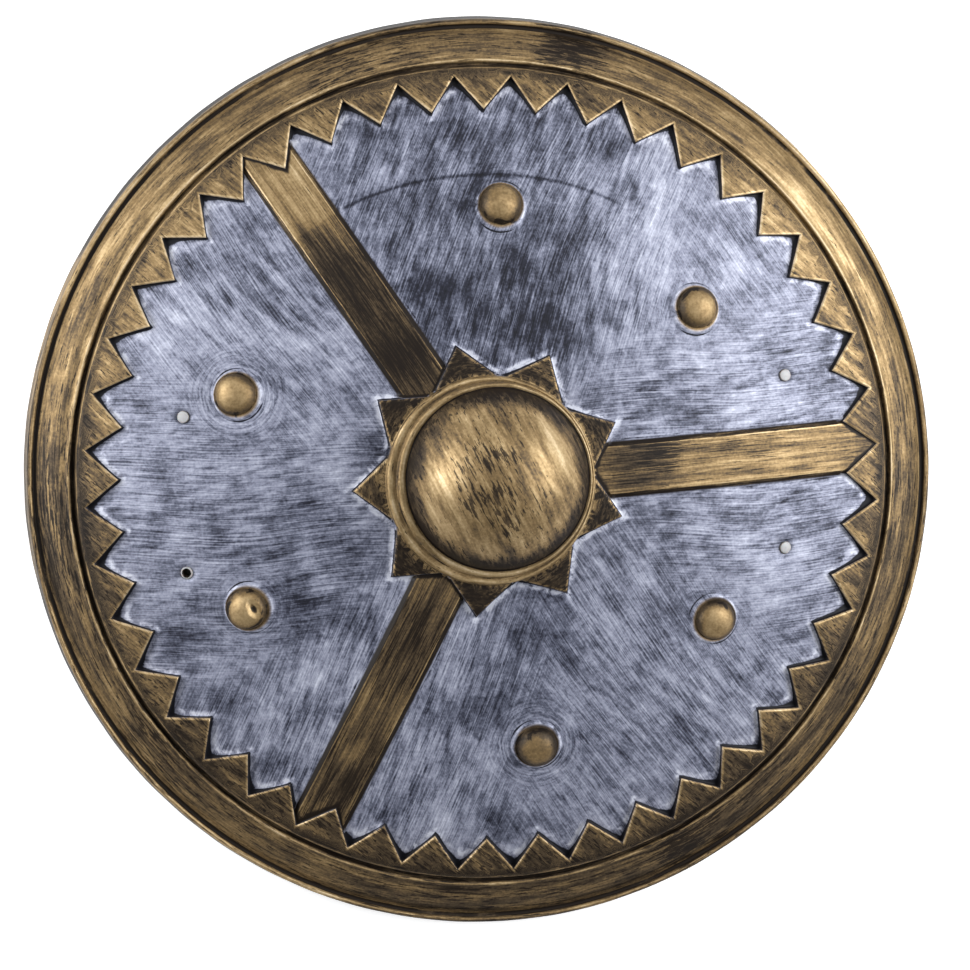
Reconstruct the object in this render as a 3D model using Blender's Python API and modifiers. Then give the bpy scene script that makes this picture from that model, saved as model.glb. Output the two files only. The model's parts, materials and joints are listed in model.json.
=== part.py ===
"""Round costume shield: one formed plastic sheet with two riveted webbing straps behind it.

The shield lies on its rim with the boss up. +Z is up, +X runs along one of the three bars,
and the origin is the centre of the rim on the ground. Units are metres.
"""

import math

import bmesh
import bpy
from mathutils import Matrix, Vector

MM = 0.001

# Sheet and rim
SHIELD_RADIUS = 250.0 * MM
SHEET_WALL = 1.5 * MM
FOOT_FLARE = 2.0 * MM
LIP_WIDTH = 3.8 * MM
LIP_SIDE_HEIGHT = 13.2 * MM
LIP_CROWN = 3.0 * MM
GROOVE_WIDTH = 1.6 * MM
GROOVE_HEIGHT = 13.9 * MM
BAND_WIDTH = 16.2 * MM
BAND_TOP_HEIGHT = 23.5 * MM
BAND_BULGE = 1.3 * MM
RIDGE_WIDTH = 2.4 * MM
RIDGE_RISE = 0.9 * MM
VALLEY_WIDTH = 1.6 * MM

# Domed field inside the rim
FIELD_EDGE_HEIGHT = 21.9 * MM
FIELD_RISE = 45.2 * MM

# Ring of teeth
TOOTH_COUNT = 44
TOOTH_RING_INSET = 1.2 * MM
TOOTH_ROOT_WIDTH = 4.4 * MM
TOOTH_LENGTH = 18.4 * MM
TOOTH_RELIEF = 4.2 * MM
TOOTH_RING_FLANK = 1.6 * MM

# Boss with its two collars
BOSS_RADIUS = 48.5 * MM
BOSS_RISE = 38.0 * MM
COLLAR_STEP_WIDTH = 3.5 * MM
INNER_COLLAR_RISE = 10.3 * MM
OUTER_COLLAR_RISE = 7.6 * MM
BOSS_FLANK = 0.6 * MM

# Star round the boss
STAR_POINTS = 9
STAR_REACH = 17.8 * MM
STAR_ROOT_OVERLAP = 1.0 * MM
STAR_RELIEF = 4.5 * MM

# Bars from the star to the teeth
BAR_COUNT = 3
BAR_TOP_WIDTH = 25.6 * MM
BAR_FOOT_WIDTH = 30.6 * MM
BAR_RELIEF = 2.2 * MM
BAR_END_OVERLAP = 0.8 * MM

# Studs, two in each sector between bars
STUD_CIRCLE_RADIUS = 146.3 * MM
STUD_SPREAD_ANGLE = math.radians(23.7)
STUD_RADIUS = 11.0 * MM
STUD_RISE = 7.6 * MM
STUD_COLLAR_WIDTH = 2.9 * MM
STUD_COLLAR_RISE = 0.9 * MM

# Push rivets, drilled by hand: each has its own distance in from the tooth tips and along Y
LEFT_UPPER_INSET = 38.2 * MM
LEFT_UPPER_Y = 45.5 * MM
LEFT_LOWER_INSET = 33.4 * MM
LEFT_LOWER_Y = -38.3 * MM
RIGHT_UPPER_INSET = 32.0 * MM
RIGHT_UPPER_Y = 42.1 * MM
RIGHT_LOWER_INSET = 38.6 * MM
RIGHT_LOWER_Y = -51.5 * MM
RIVET_HEAD_RADIUS = 3.4 * MM
RIVET_HEAD_HEIGHT = 1.3 * MM
RIVET_SHANK_RADIUS = 2.4 * MM
RIVET_BORE_RADIUS = 1.9 * MM
RIVET_BORE_DEPTH = 4.5 * MM
RIVET_TAIL_RADIUS = 4.6 * MM
RIVET_TAIL_HEIGHT = 1.4 * MM
RIVET_HOLE_CLEARANCE = 0.4 * MM

# Webbing straps
STRAP_WIDTH = 25.0 * MM
STRAP_THICKNESS = 1.6 * MM
STRAP_END_LENGTH = 13.0 * MM
STRAP_FLAT_LENGTH = 9.0 * MM
STRAP_GROUND_CLEARANCE = 4.0 * MM
STRAP_BOW_SHAPE = 0.85

# Clearances between pieces that touch
SEAT_GAP = 0.3 * MM
STRAP_GAP = 0.6 * MM

# How finely round shapes are cut into flat faces
RIM_STEPS = 60
BOSS_STEPS = 36
BOSS_RINGS = 5
STUD_STEPS = 12
STUD_RINGS = 3
RIVET_STEPS = 12
BAR_STEPS = 7
STRAP_STEPS = 18
LIP_FRONT_ANGLES = (145, 105, 65, 28, 0)
LIP_BACK_ANGLES = (130, 50, 0)
FIELD_RING_SPACING = 37.0 * MM

# How far hidden ends of joined shapes run into each other or past a cut
SINK = 4.0 * MM
TOOTH_RING_SINK = 1.0 * MM
MERGE_DISTANCE = 0.01 * MM

# Sizes that follow from the ones above
LIP_RADIUS = SHIELD_RADIUS - FOOT_FLARE
GROOVE_OUTER_RADIUS = LIP_RADIUS - LIP_WIDTH
GROOVE_INNER_RADIUS = GROOVE_OUTER_RADIUS - GROOVE_WIDTH
BAND_INNER_RADIUS = GROOVE_INNER_RADIUS - BAND_WIDTH
RIDGE_INNER_RADIUS = BAND_INNER_RADIUS - RIDGE_WIDTH
FIELD_EDGE_RADIUS = RIDGE_INNER_RADIUS - VALLEY_WIDTH
DOME_RADIUS = (FIELD_EDGE_RADIUS**2 + FIELD_RISE**2) / (2 * FIELD_RISE)
DOME_CENTRE_HEIGHT = FIELD_EDGE_HEIGHT + FIELD_RISE - DOME_RADIUS
TOOTH_RING_RADIUS = FIELD_EDGE_RADIUS - TOOTH_RING_INSET
TOOTH_ROOT_RADIUS = TOOTH_RING_RADIUS - TOOTH_ROOT_WIDTH
TOOTH_TIP_RADIUS = TOOTH_ROOT_RADIUS - TOOTH_LENGTH
INNER_COLLAR_RADIUS = BOSS_RADIUS + COLLAR_STEP_WIDTH
OUTER_COLLAR_RADIUS = INNER_COLLAR_RADIUS + COLLAR_STEP_WIDTH
STAR_TIP_RADIUS = OUTER_COLLAR_RADIUS + STAR_REACH
STAR_ROOT_RADIUS = OUTER_COLLAR_RADIUS - STAR_ROOT_OVERLAP
RIVET_HOLE_RADIUS = RIVET_SHANK_RADIUS + RIVET_HOLE_CLEARANCE
STRAP_FACE_DEPTH = SHEET_WALL + STRAP_GAP
STRAP_BACK_DEPTH = STRAP_FACE_DEPTH + STRAP_THICKNESS


def clear_scene():
    for item in list(bpy.data.objects):
        bpy.data.objects.remove(item, do_unlink=True)


def new_collection(name):
    collection = bpy.data.collections.new(name)
    bpy.context.scene.collection.children.link(collection)
    return collection


def plastic(name, colour, roughness):
    material = bpy.data.materials.new(name)
    material.use_nodes = True
    shader = material.node_tree.nodes["Principled BSDF"]
    shader.inputs["Base Color"].default_value = (*colour, 1.0)
    shader.inputs["Roughness"].default_value = roughness
    shader.inputs["Metallic"].default_value = 0.0
    return material


def dome_height(radius, lift=0.0):
    """Height of the domed field, or of a surface that lies the lift outside it."""
    return DOME_CENTRE_HEIGHT + math.sqrt((DOME_RADIUS + lift) ** 2 - radius**2)


def dome_frame(x, y, along=None):
    """Frame on the dome over x and y: Z along its normal, and Y level round it or towards a given way."""
    place = Vector((x, y, dome_height(math.hypot(x, y))))
    normal = (place - Vector((0.0, 0.0, DOME_CENTRE_HEIGHT))).normalized()
    way = Vector((-y, x, 0.0)) if along is None else Vector(along)
    across = way.cross(normal).normalized()
    turn = Matrix((across, normal.cross(across), normal)).transposed().to_4x4()
    return Matrix.Translation(place) @ turn


def finished_mesh(item, name):
    """Plain mesh of an object as its modifiers leave it, welded, in world coordinates."""
    bpy.context.view_layer.update()
    graph = bpy.context.evaluated_depsgraph_get()
    mesh = bpy.data.meshes.new_from_object(item.evaluated_get(graph))
    mesh.transform(item.matrix_world)
    mesh.name = name
    work = bmesh.new()
    work.from_mesh(mesh)
    bmesh.ops.remove_doubles(work, verts=work.verts, dist=MERGE_DISTANCE)
    bmesh.ops.dissolve_degenerate(work, edges=work.edges, dist=MERGE_DISTANCE)
    work.to_mesh(mesh)
    work.free()
    return mesh


def baked(item):
    """Replace a construction object by one that holds its finished mesh."""
    name = item.name
    mesh = finished_mesh(item, name)
    home = item.users_collection[0]
    bpy.data.objects.remove(item, do_unlink=True)
    result = bpy.data.objects.new(name, mesh)
    home.objects.link(result)
    return result


def link_tool(name, data, home):
    item = bpy.data.objects.new(name, data)
    item.hide_render = True
    item.display_type = "WIRE"
    home.objects.link(item)
    return item


def turned(name, profile, steps, home, closed=False):
    """Solid turned about Z from a profile of radius and height that runs down its outer side."""
    verts = [(radius, 0.0, height) for radius, height in profile]
    edges = [(index, index + 1) for index in range(len(verts) - 1)]
    if closed:
        edges.append((len(verts) - 1, 0))
    mesh = bpy.data.meshes.new(name)
    mesh.from_pydata(verts, edges, [])
    item = link_tool(name, mesh, home)
    screw = item.modifiers.new("Turn", "SCREW")
    screw.steps = steps
    screw.render_steps = steps
    screw.use_merge_vertices = True
    screw.merge_threshold = MERGE_DISTANCE
    return baked(item)


def prism(name, outline, low, high, home):
    """Upright prism over a flat outline."""
    curve = bpy.data.curves.new(name, "CURVE")
    curve.dimensions = "2D"
    curve.fill_mode = "BOTH"
    curve.extrude = (high - low) / 2
    spline = curve.splines.new("POLY")
    spline.points.add(len(outline) - 1)
    for point, (x, y) in zip(spline.points, outline):
        point.co = (x, y, 0.0, 1.0)
    spline.use_cyclic_u = True
    item = link_tool(name, curve, home)
    item.location.z = (high + low) / 2
    return baked(item)


def combine(item, tool, operation):
    """Boolean of one object with another, which is used up."""
    step = item.modifiers.new(operation.title(), "BOOLEAN")
    step.operation = operation
    step.solver = "EXACT"
    step.object = tool
    result = baked(item)
    bpy.data.objects.remove(tool, do_unlink=True)
    return result


def offset_line(points, distance):
    """Line that runs beside another, on the side to the right of its direction."""
    normals = []
    for (x0, y0), (x1, y1) in zip(points, points[1:]):
        length = math.hypot(x1 - x0, y1 - y0)
        normals.append(((y1 - y0) / length, (x0 - x1) / length))
    result = []
    for index, (x, y) in enumerate(points):
        before = normals[max(index - 1, 0)]
        after = normals[min(index, len(normals) - 1)]
        across = (before[0] + after[0], before[1] + after[1])
        scale = 2 * distance / (across[0] ** 2 + across[1] ** 2)
        result.append((x + across[0] * scale, y + across[1] * scale))
    return result


def zigzag(count, root_radius, tip_radius, grow=0.0):
    """Outline with pointed teeth whose roots start at angle 0, moved outward by a distance."""
    half_pitch = math.pi / count
    points = []
    for index in range(2 * count + 2):
        radius = tip_radius if index % 2 else root_radius
        angle = index * half_pitch
        points.append((radius * math.cos(angle), radius * math.sin(angle)))
    return offset_line(points, grow)[1:-1]


def field_rings():
    """Radii of the rings of flat faces on the dome, from near the axis to its edge."""
    count = max(2, round(FIELD_EDGE_RADIUS / FIELD_RING_SPACING))
    return [FIELD_EDGE_RADIUS * index / count for index in range(1, count + 1)]


def rim_line(lip_angles, depth=0.0):
    """Outer surface from the inner edge of the broad band to the foot, or to a depth below it."""
    middle_radius = (BAND_INNER_RADIUS + GROOVE_INNER_RADIUS) / 2
    middle_height = (BAND_TOP_HEIGHT + GROOVE_HEIGHT) / 2 + BAND_BULGE
    points = [(BAND_INNER_RADIUS, BAND_TOP_HEIGHT), (middle_radius, middle_height)]
    points += [(GROOVE_INNER_RADIUS, GROOVE_HEIGHT), (GROOVE_OUTER_RADIUS, GROOVE_HEIGHT)]
    lip_middle = LIP_RADIUS - LIP_WIDTH / 2
    for degrees in lip_angles:
        angle = math.radians(degrees)
        radius = lip_middle + LIP_WIDTH / 2 * math.cos(angle)
        points.append((radius, LIP_SIDE_HEIGHT + LIP_CROWN * math.sin(angle)))
    spread = FOOT_FLARE * depth / LIP_SIDE_HEIGHT
    points.append((SHIELD_RADIUS + spread, -depth))
    return points


def sheet_body(inset, home):
    """Dome and rim, filled down to the ground, or to below it for the hollow."""
    profile = [(0.0, dome_height(0.0, -inset))]
    profile += [(radius, dome_height(radius, -inset)) for radius in field_rings()]
    if inset:
        profile += offset_line(rim_line(LIP_BACK_ANGLES, SINK), inset) + [(0.0, -SINK)]
    else:
        ridge_height = BAND_TOP_HEIGHT + RIDGE_RISE
        profile.append((RIDGE_INNER_RADIUS, ridge_height - RIDGE_RISE / 2))
        profile.append((BAND_INNER_RADIUS - RIDGE_WIDTH / 2, ridge_height))
        profile += rim_line(LIP_FRONT_ANGLES) + [(0.0, 0.0)]
    return turned("sheet_body", profile, RIM_STEPS, home)


def tooth_ring(inset, home):
    """Raised ring with teeth that point to the middle."""
    inner_radius = TOOTH_TIP_RADIUS - SINK
    outer_radius = TOOTH_RING_RADIUS - inset
    foot_radius = outer_radius + TOOTH_RING_FLANK
    lift = TOOTH_RELIEF - inset
    profile = [(inner_radius, dome_height(inner_radius, lift)), (outer_radius, dome_height(outer_radius, lift))]
    foot_height = dome_height(foot_radius, -inset) - TOOTH_RING_SINK
    profile += [(foot_radius, foot_height), (inner_radius, foot_height)]
    ring = turned("tooth_ring", profile, RIM_STEPS, home, closed=True)
    window = zigzag(TOOTH_COUNT, TOOTH_ROOT_RADIUS, TOOTH_TIP_RADIUS, grow=inset)
    low = -2 * SINK
    high = dome_height(0.0, 2 * SINK)
    return combine(ring, prism("tooth_window", window, low, high, home), "DIFFERENCE")


def star(inset, home):
    """Raised star under the boss."""
    lift = STAR_RELIEF - inset
    reach = STAR_TIP_RADIUS + SINK
    base = dome_height(reach, -inset) - SINK
    profile = [(0.0, dome_height(0.0, lift))]
    profile += [(reach * share, dome_height(reach * share, lift)) for share in (0.4, 0.7, 1.0)]
    profile += [(reach, base), (0.0, base)]
    cap = turned("star_cap", profile, BOSS_STEPS, home)
    outline = zigzag(STAR_POINTS, STAR_ROOT_RADIUS, STAR_TIP_RADIUS, grow=-inset)
    high = dome_height(0.0, 2 * SINK)
    return combine(cap, prism("star_outline", outline, base - SINK, high, home), "INTERSECT")


def boss(inset, home):
    """Round boss on two low collars."""
    field = dome_height(OUTER_COLLAR_RADIUS)
    inner_top = field + INNER_COLLAR_RISE - inset
    outer_top = field + OUTER_COLLAR_RISE - inset
    ball_radius = (BOSS_RADIUS**2 + BOSS_RISE**2) / (2 * BOSS_RISE)
    ball_height = field + INNER_COLLAR_RISE + BOSS_RISE - ball_radius
    edge_angle = math.asin((BOSS_RADIUS - inset) / (ball_radius - inset))
    profile = []
    for index in range(BOSS_RINGS + 1):
        angle = edge_angle * index / BOSS_RINGS
        radius = (ball_radius - inset) * math.sin(angle)
        profile.append((radius, ball_height + (ball_radius - inset) * math.cos(angle)))
    profile.append((BOSS_RADIUS - inset + BOSS_FLANK / 2, inner_top))
    profile.append((INNER_COLLAR_RADIUS - inset, inner_top))
    profile.append((INNER_COLLAR_RADIUS - inset + BOSS_FLANK, outer_top))
    profile.append((OUTER_COLLAR_RADIUS - inset, outer_top))
    profile.append((OUTER_COLLAR_RADIUS - inset + BOSS_FLANK, field - SINK))
    profile.append((0.0, field - SINK))
    return turned("boss", profile, BOSS_STEPS, home)


def bar(inset, angle, home):
    """Raised bar with sloping sides that follows the dome from the star to the teeth."""
    slope = (BAR_FOOT_WIDTH - BAR_TOP_WIDTH) / 2 / BAR_RELIEF
    top = DOME_RADIUS + BAR_RELIEF - inset
    bottom = DOME_RADIUS - inset - SINK / 2
    half_top = BAR_TOP_WIDTH / 2 - inset
    half_bottom = half_top + slope * (top - bottom)
    section = [(half_top, top), (-half_top, top), (-half_bottom, bottom), (half_bottom, bottom)]
    start = math.asin(STAR_ROOT_RADIUS / 2 / DOME_RADIUS)
    end = math.asin((TOOTH_ROOT_RADIUS + BAR_END_OVERLAP) / DOME_RADIUS)
    work = bmesh.new()
    corners = [work.verts.new((0.0, y, z)) for y, z in section]
    face = work.faces.new(corners)
    axis = Vector((0.0, 1.0, 0.0))
    middle = Vector((0.0, 0.0, 0.0))
    bmesh.ops.rotate(work, verts=corners, cent=middle, matrix=Matrix.Rotation(start, 3, axis))
    geometry = corners + list(face.edges) + [face]
    bmesh.ops.spin(work, geom=geometry, cent=middle, axis=axis, angle=end - start, steps=BAR_STEPS)
    bmesh.ops.recalc_face_normals(work, faces=work.faces)
    mesh = bpy.data.meshes.new("bar")
    work.to_mesh(mesh)
    work.free()
    item = link_tool("bar", mesh, home)
    item.location.z = DOME_CENTRE_HEIGHT
    item.rotation_euler.z = angle
    return baked(item)


def stud(inset, angle, home):
    """Round stud on a low collar, square to the dome."""
    radius = STUD_RADIUS - inset
    rise = STUD_RISE - inset
    foot = -inset if inset else STUD_COLLAR_RISE
    profile = []
    for index in range(STUD_RINGS + 1):
        turn = math.pi / 2 * index / STUD_RINGS
        profile.append((radius * math.sin(turn), foot + (rise - foot) * math.cos(turn)))
    if not inset:
        profile.append((STUD_RADIUS + STUD_COLLAR_WIDTH - STUD_COLLAR_RISE, STUD_COLLAR_RISE))
        profile.append((STUD_RADIUS + STUD_COLLAR_WIDTH, -SHEET_WALL / 2))
        profile.append((0.0, -SHEET_WALL / 2))
    else:
        profile.append((radius, foot - SINK / 2))
        profile.append((0.0, foot - SINK / 2))
    item = turned("stud", profile, STUD_STEPS, home)
    x = STUD_CIRCLE_RADIUS * math.cos(angle)
    y = STUD_CIRCLE_RADIUS * math.sin(angle)
    item.matrix_world = dome_frame(x, y)
    return baked(item)


def form(inset, home):
    """Everything under the outer surface, or under a surface that lies the inset inside it."""
    solid = sheet_body(inset, home)
    solid = combine(solid, tooth_ring(inset, home), "UNION")
    solid = combine(solid, star(inset, home), "UNION")
    sector = 2 * math.pi / BAR_COUNT
    for index in range(BAR_COUNT):
        solid = combine(solid, bar(inset, index * sector, home), "UNION")
        for side in (-1, 1):
            angle = (index + 0.5) * sector + side * STUD_SPREAD_ANGLE
            solid = combine(solid, stud(inset, angle, home), "UNION")
    return combine(solid, boss(inset, home), "UNION")


def rivet_hole(x, y, home):
    """Cutter for the hole that a rivet's shank passes through."""
    reach = STRAP_BACK_DEPTH + SINK
    profile = [(0.0, SINK), (RIVET_HOLE_RADIUS, SINK), (RIVET_HOLE_RADIUS, -reach), (0.0, -reach)]
    item = turned("rivet_hole", profile, RIVET_STEPS, home)
    item.matrix_world = dome_frame(x, y)
    return baked(item)


def finish(item, name, material, home, smooth_angle=30.0):
    """Give a finished object its name, material, collection and shading."""
    for collection in list(item.users_collection):
        collection.objects.unlink(item)
    home.objects.link(item)
    item.name = name
    item.data.name = name
    item.hide_render = False
    item.display_type = "TEXTURED"
    item.data.materials.clear()
    item.data.materials.append(material)
    item.data.shade_smooth()
    item.data.set_sharp_from_angle(angle=math.radians(smooth_angle))
    return item


def make_shell(places, material, tools, home):
    shell = form(0.0, tools)
    shell = combine(shell, form(SHEET_WALL, tools), "DIFFERENCE")
    for x, y in places:
        shell = combine(shell, rivet_hole(x, y, tools), "DIFFERENCE")
    return finish(shell, "shield_shell", material, home)


def make_rivet(name, place, hollow, material, tools, home):
    """Push rivet from its head on the sheet to its tail behind the strap."""
    grip = STRAP_BACK_DEPTH + SEAT_GAP
    tail = grip + RIVET_TAIL_HEIGHT
    if hollow:
        profile = [(0.0, RIVET_HEAD_HEIGHT - RIVET_BORE_DEPTH)]
        profile.append((RIVET_BORE_RADIUS, RIVET_HEAD_HEIGHT - RIVET_BORE_DEPTH))
        profile.append((RIVET_BORE_RADIUS, RIVET_HEAD_HEIGHT))
    else:
        profile = [(0.0, RIVET_HEAD_HEIGHT)]
    crown_radius = (RIVET_BORE_RADIUS + RIVET_HEAD_RADIUS) / 2
    profile.append((crown_radius, RIVET_HEAD_HEIGHT))
    profile.append((RIVET_HEAD_RADIUS, RIVET_HEAD_HEIGHT / 2))
    profile.append((RIVET_HEAD_RADIUS, SEAT_GAP))
    profile.append((RIVET_SHANK_RADIUS, SEAT_GAP))
    profile.append((RIVET_SHANK_RADIUS, -grip))
    profile.append((RIVET_TAIL_RADIUS, -grip))
    profile.append((RIVET_TAIL_RADIUS, -tail))
    profile.append((0.0, -tail))
    item = turned(name, profile, RIVET_STEPS, tools)
    item.matrix_world = dome_frame(*place)
    return finish(baked(item), name, material, home)


def make_strap(name, upper, lower, material, tools, home):
    """Webbing strap that lies on the back of the dome at both rivets and bows away between them."""
    ends = [dome_frame(*place).translation for place in (upper, lower)]
    middle = (ends[0] + ends[1]) / 2
    frame = dome_frame(middle.x, middle.y, along=ends[0] - ends[1])
    half_span = (ends[0] - ends[1]).length / 2
    end = half_span + STRAP_END_LENGTH
    bow_start = half_span - STRAP_FLAT_LENGTH
    tilt = frame.to_3x3() @ Vector((0.0, 0.0, 1.0))
    edge_drop = STRAP_WIDTH / 2 * math.sqrt(1 - tilt.z**2) + STRAP_THICKNESS
    drop = frame.translation.z - STRAP_GROUND_CLEARANCE - edge_drop
    lowest = drop / tilt.z
    rest_depth = STRAP_FACE_DEPTH + STRAP_THICKNESS / 2
    verts = []
    for index in range(STRAP_STEPS + 1):
        along = end * (2 * index / STRAP_STEPS - 1)
        depth = DOME_RADIUS - math.sqrt(DOME_RADIUS**2 - along**2) + rest_depth
        bow = max(0.0, 1 - abs(along) / bow_start)
        depth += (lowest - rest_depth) * math.sin(math.pi / 2 * bow) ** STRAP_BOW_SHAPE
        verts += [(side * STRAP_WIDTH / 2, along, -depth) for side in (-1, 1)]
    faces = [(2 * i, 2 * i + 1, 2 * i + 3, 2 * i + 2) for i in range(STRAP_STEPS)]
    mesh = bpy.data.meshes.new(name)
    mesh.from_pydata(verts, [], faces)
    item = link_tool(name, mesh, tools)
    wall = item.modifiers.new("Thickness", "SOLIDIFY")
    wall.thickness = STRAP_THICKNESS
    wall.offset = 0.0
    wall.use_even_offset = True
    item.matrix_world = frame
    strap = baked(item)
    for place in (upper, lower):
        strap = combine(strap, rivet_hole(*place, tools), "DIFFERENCE")
    return finish(strap, name, material, home)


def main():
    clear_scene()
    parts = new_collection("costume_round_shield")
    tools = new_collection("construction")
    painted = plastic("painted_sheet", (0.28, 0.25, 0.2), 0.42)
    nylon = plastic("white_nylon", (0.75, 0.74, 0.7), 0.35)
    webbing = plastic("black_webbing", (0.02, 0.02, 0.022), 0.8)
    left_upper = (LEFT_UPPER_INSET - TOOTH_TIP_RADIUS, LEFT_UPPER_Y)
    left_lower = (LEFT_LOWER_INSET - TOOTH_TIP_RADIUS, LEFT_LOWER_Y)
    right_upper = (TOOTH_TIP_RADIUS - RIGHT_UPPER_INSET, RIGHT_UPPER_Y)
    right_lower = (TOOTH_TIP_RADIUS - RIGHT_LOWER_INSET, RIGHT_LOWER_Y)
    places = [left_upper, left_lower, right_upper, right_lower]
    make_shell(places, painted, tools, parts)
    make_rivet("rivet_left_upper", left_upper, False, nylon, tools, parts)
    make_rivet("rivet_left_lower", left_lower, True, nylon, tools, parts)
    make_rivet("rivet_right_upper", right_upper, False, nylon, tools, parts)
    make_rivet("rivet_right_lower", right_lower, False, nylon, tools, parts)
    make_strap("arm_strap", left_upper, left_lower, webbing, tools, parts)
    make_strap("hand_strap", right_upper, right_lower, webbing, tools, parts)


main()
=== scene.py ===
import json
import math

import bmesh
import bpy
import numpy as np
from mathutils import Matrix, Vector
from mathutils.geometry import delaunay_2d_cdt

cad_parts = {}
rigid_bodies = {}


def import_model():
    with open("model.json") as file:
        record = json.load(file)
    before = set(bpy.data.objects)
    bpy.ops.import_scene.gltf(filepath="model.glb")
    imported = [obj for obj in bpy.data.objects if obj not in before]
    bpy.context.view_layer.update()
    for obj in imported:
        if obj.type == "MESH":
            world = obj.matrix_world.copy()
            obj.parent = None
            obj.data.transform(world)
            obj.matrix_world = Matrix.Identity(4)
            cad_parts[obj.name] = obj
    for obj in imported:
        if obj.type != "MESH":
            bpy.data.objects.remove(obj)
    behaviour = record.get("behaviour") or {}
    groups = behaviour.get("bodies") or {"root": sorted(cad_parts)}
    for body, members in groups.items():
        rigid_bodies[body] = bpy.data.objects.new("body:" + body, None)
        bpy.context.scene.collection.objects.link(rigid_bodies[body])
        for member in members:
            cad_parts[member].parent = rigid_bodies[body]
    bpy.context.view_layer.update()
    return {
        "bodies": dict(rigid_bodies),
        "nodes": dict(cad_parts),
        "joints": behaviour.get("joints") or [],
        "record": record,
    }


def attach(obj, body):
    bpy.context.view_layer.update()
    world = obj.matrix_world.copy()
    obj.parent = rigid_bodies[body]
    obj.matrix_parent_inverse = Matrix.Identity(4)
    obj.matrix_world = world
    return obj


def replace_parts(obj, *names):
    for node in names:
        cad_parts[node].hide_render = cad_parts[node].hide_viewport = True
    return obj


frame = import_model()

# Costume round shield of thin formed plastic, dry-brushed in silver and gold over black.
# Sizes are millimetres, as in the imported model; meshes are scaled to metres when they are made.
MM = 0.001

# Rim
SHIELD_RADIUS = 250.0
SHEET_WALL = 1.5
LIP_RADIUS = 248.0
LIP_HALF_WIDTH = 1.7
LIP_SIDE_HEIGHT = 13.2
LIP_CROWN = 3.0
GROOVE_HEIGHT = 13.9
BAND_FOOT = (242.3, 14.65)
BAND_TOP = (227.1, 23.25)
BAND_BULGE = 1.3
RIDGE_RADIUS = 225.2
RIDGE_HEIGHT = 24.4
VALLEY_HEIGHT = 22.0

# Domed field
FIELD_EDGE_RADIUS = 222.4
FIELD_EDGE_HEIGHT = 21.9
FIELD_RISE = 45.2
DOME_RADIUS = (FIELD_EDGE_RADIUS**2 + FIELD_RISE**2) / (2 * FIELD_RISE)
DOME_CENTRE_HEIGHT = FIELD_EDGE_HEIGHT + FIELD_RISE - DOME_RADIUS

# Ring of teeth, star and bars
TOOTH_COUNT = 44
TOOTH_RING_RADIUS = 221.2
TOOTH_ROOT_RADIUS = 216.8
TOOTH_TIP_RADIUS = 198.4
TOOTH_RELIEF = 4.2
STAR_POINTS = 9
STAR_ROOT_RADIUS = 54.5
STAR_TIP_RADIUS = 73.3
STAR_RELIEF = 4.5
BAR_COUNT = 3
BAR_HALF_TOP = 12.8
BAR_RELIEF = 2.2

# Height left of a raised part, by how far outside its outline a point lies
CUT_WALL = ((-1.5, 1.0), (-0.7, 0.985), (-0.2, 0.93), (0.4, 0.12), (0.8, 0.03), (1.4, 0.0))
BAR_WALL = ((-0.9, 1.0), (-0.3, 0.98), (0.2, 0.9), (2.0, 0.2), (2.6, 0.04), (3.3, 0.0))

# Boss: radius and height of its ball, and of its two collars
BALL_RADIUS = 49.95
BALL_HEIGHT = 62.74
BALL_EDGE_ANGLE = 76.0
COLLAR_TOP_INNER = 74.69
COLLAR_TOP_OUTER = 71.99
BOSS_RING_RADIUS = 56.6
COLLAR_RADIUS = 55.6
BALL_SHIFT = (3.4, 0.8)

# Studs
STUD_CIRCLE_RADIUS = 146.3
STUD_SPREAD_ANGLE = 23.7
STUD_RADIUS = 11.0
STUD_RISE = 7.6
STUD_COLLAR_RISE = 0.9
STUD_RING_RADIUS = 15.2
# How far each stud lies to the right and up from its even place, as the shield lies before the camera
STUD_OFFSETS = ((1.6, -4.5), (2.1, -0.2), (3.7, -3.2), (1.0, -0.2), (-0.3, -1.0), (-1.0, 0.3))
STUD_SHIFT = 1.2
DENTED_STUD = 3
DENTED_STUD_SHIFT = 2.0
DENT_DEPTH = 2.4
# How clearly the brush ran round each stud
CURLS = (0.15, 0.2, 0.6, 0.25, 0.6, 0.1)

# Rivets and straps
RIVET_PLACES = {
    "rivet_left_upper": (-160.2, 45.5),
    "rivet_left_lower": (-165.0, -38.3),
    "rivet_right_upper": (166.4, 42.1),
    "rivet_right_lower": (159.8, -51.5),
}
HOLLOW_RIVET = "rivet_left_lower"
RIVET_HOLE_RADIUS = 2.8
RIVET_HEAD_RADIUS = 3.4
RIVET_SHANK_RADIUS = 2.4
RIVET_BORE_RADIUS = 1.9
RIVET_BORE_FLOOR = -3.2
RIVET_TAIL_RADIUS = 4.6
RIVET_TAIL_HEIGHT = 1.4
PUNCH_LENGTH = 24.0
STRAP_WIDTH = 25.0
STRAP_THICKNESS = 1.6
STRAP_END_LENGTH = 13.0
STRAP_FLAT_LENGTH = 9.0
STRAP_GROUND_CLEARANCE = 4.0
STRAP_BOW_SHAPE = 0.85
STRAP_GAP = 0.6
SEAT_GAP = 0.3

# Crease that the former left across the top of the field
CREASE_RADIUS = 163.6
CREASE_START = 58.0
CREASE_END = 124.0
CREASE_DEPTH = 0.4
CREASE_WIDTH = 0.8
CREASED_BAR = 1
# Height of the slight waves in the thin sheet
WAVE_HEIGHT = 0.22

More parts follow.
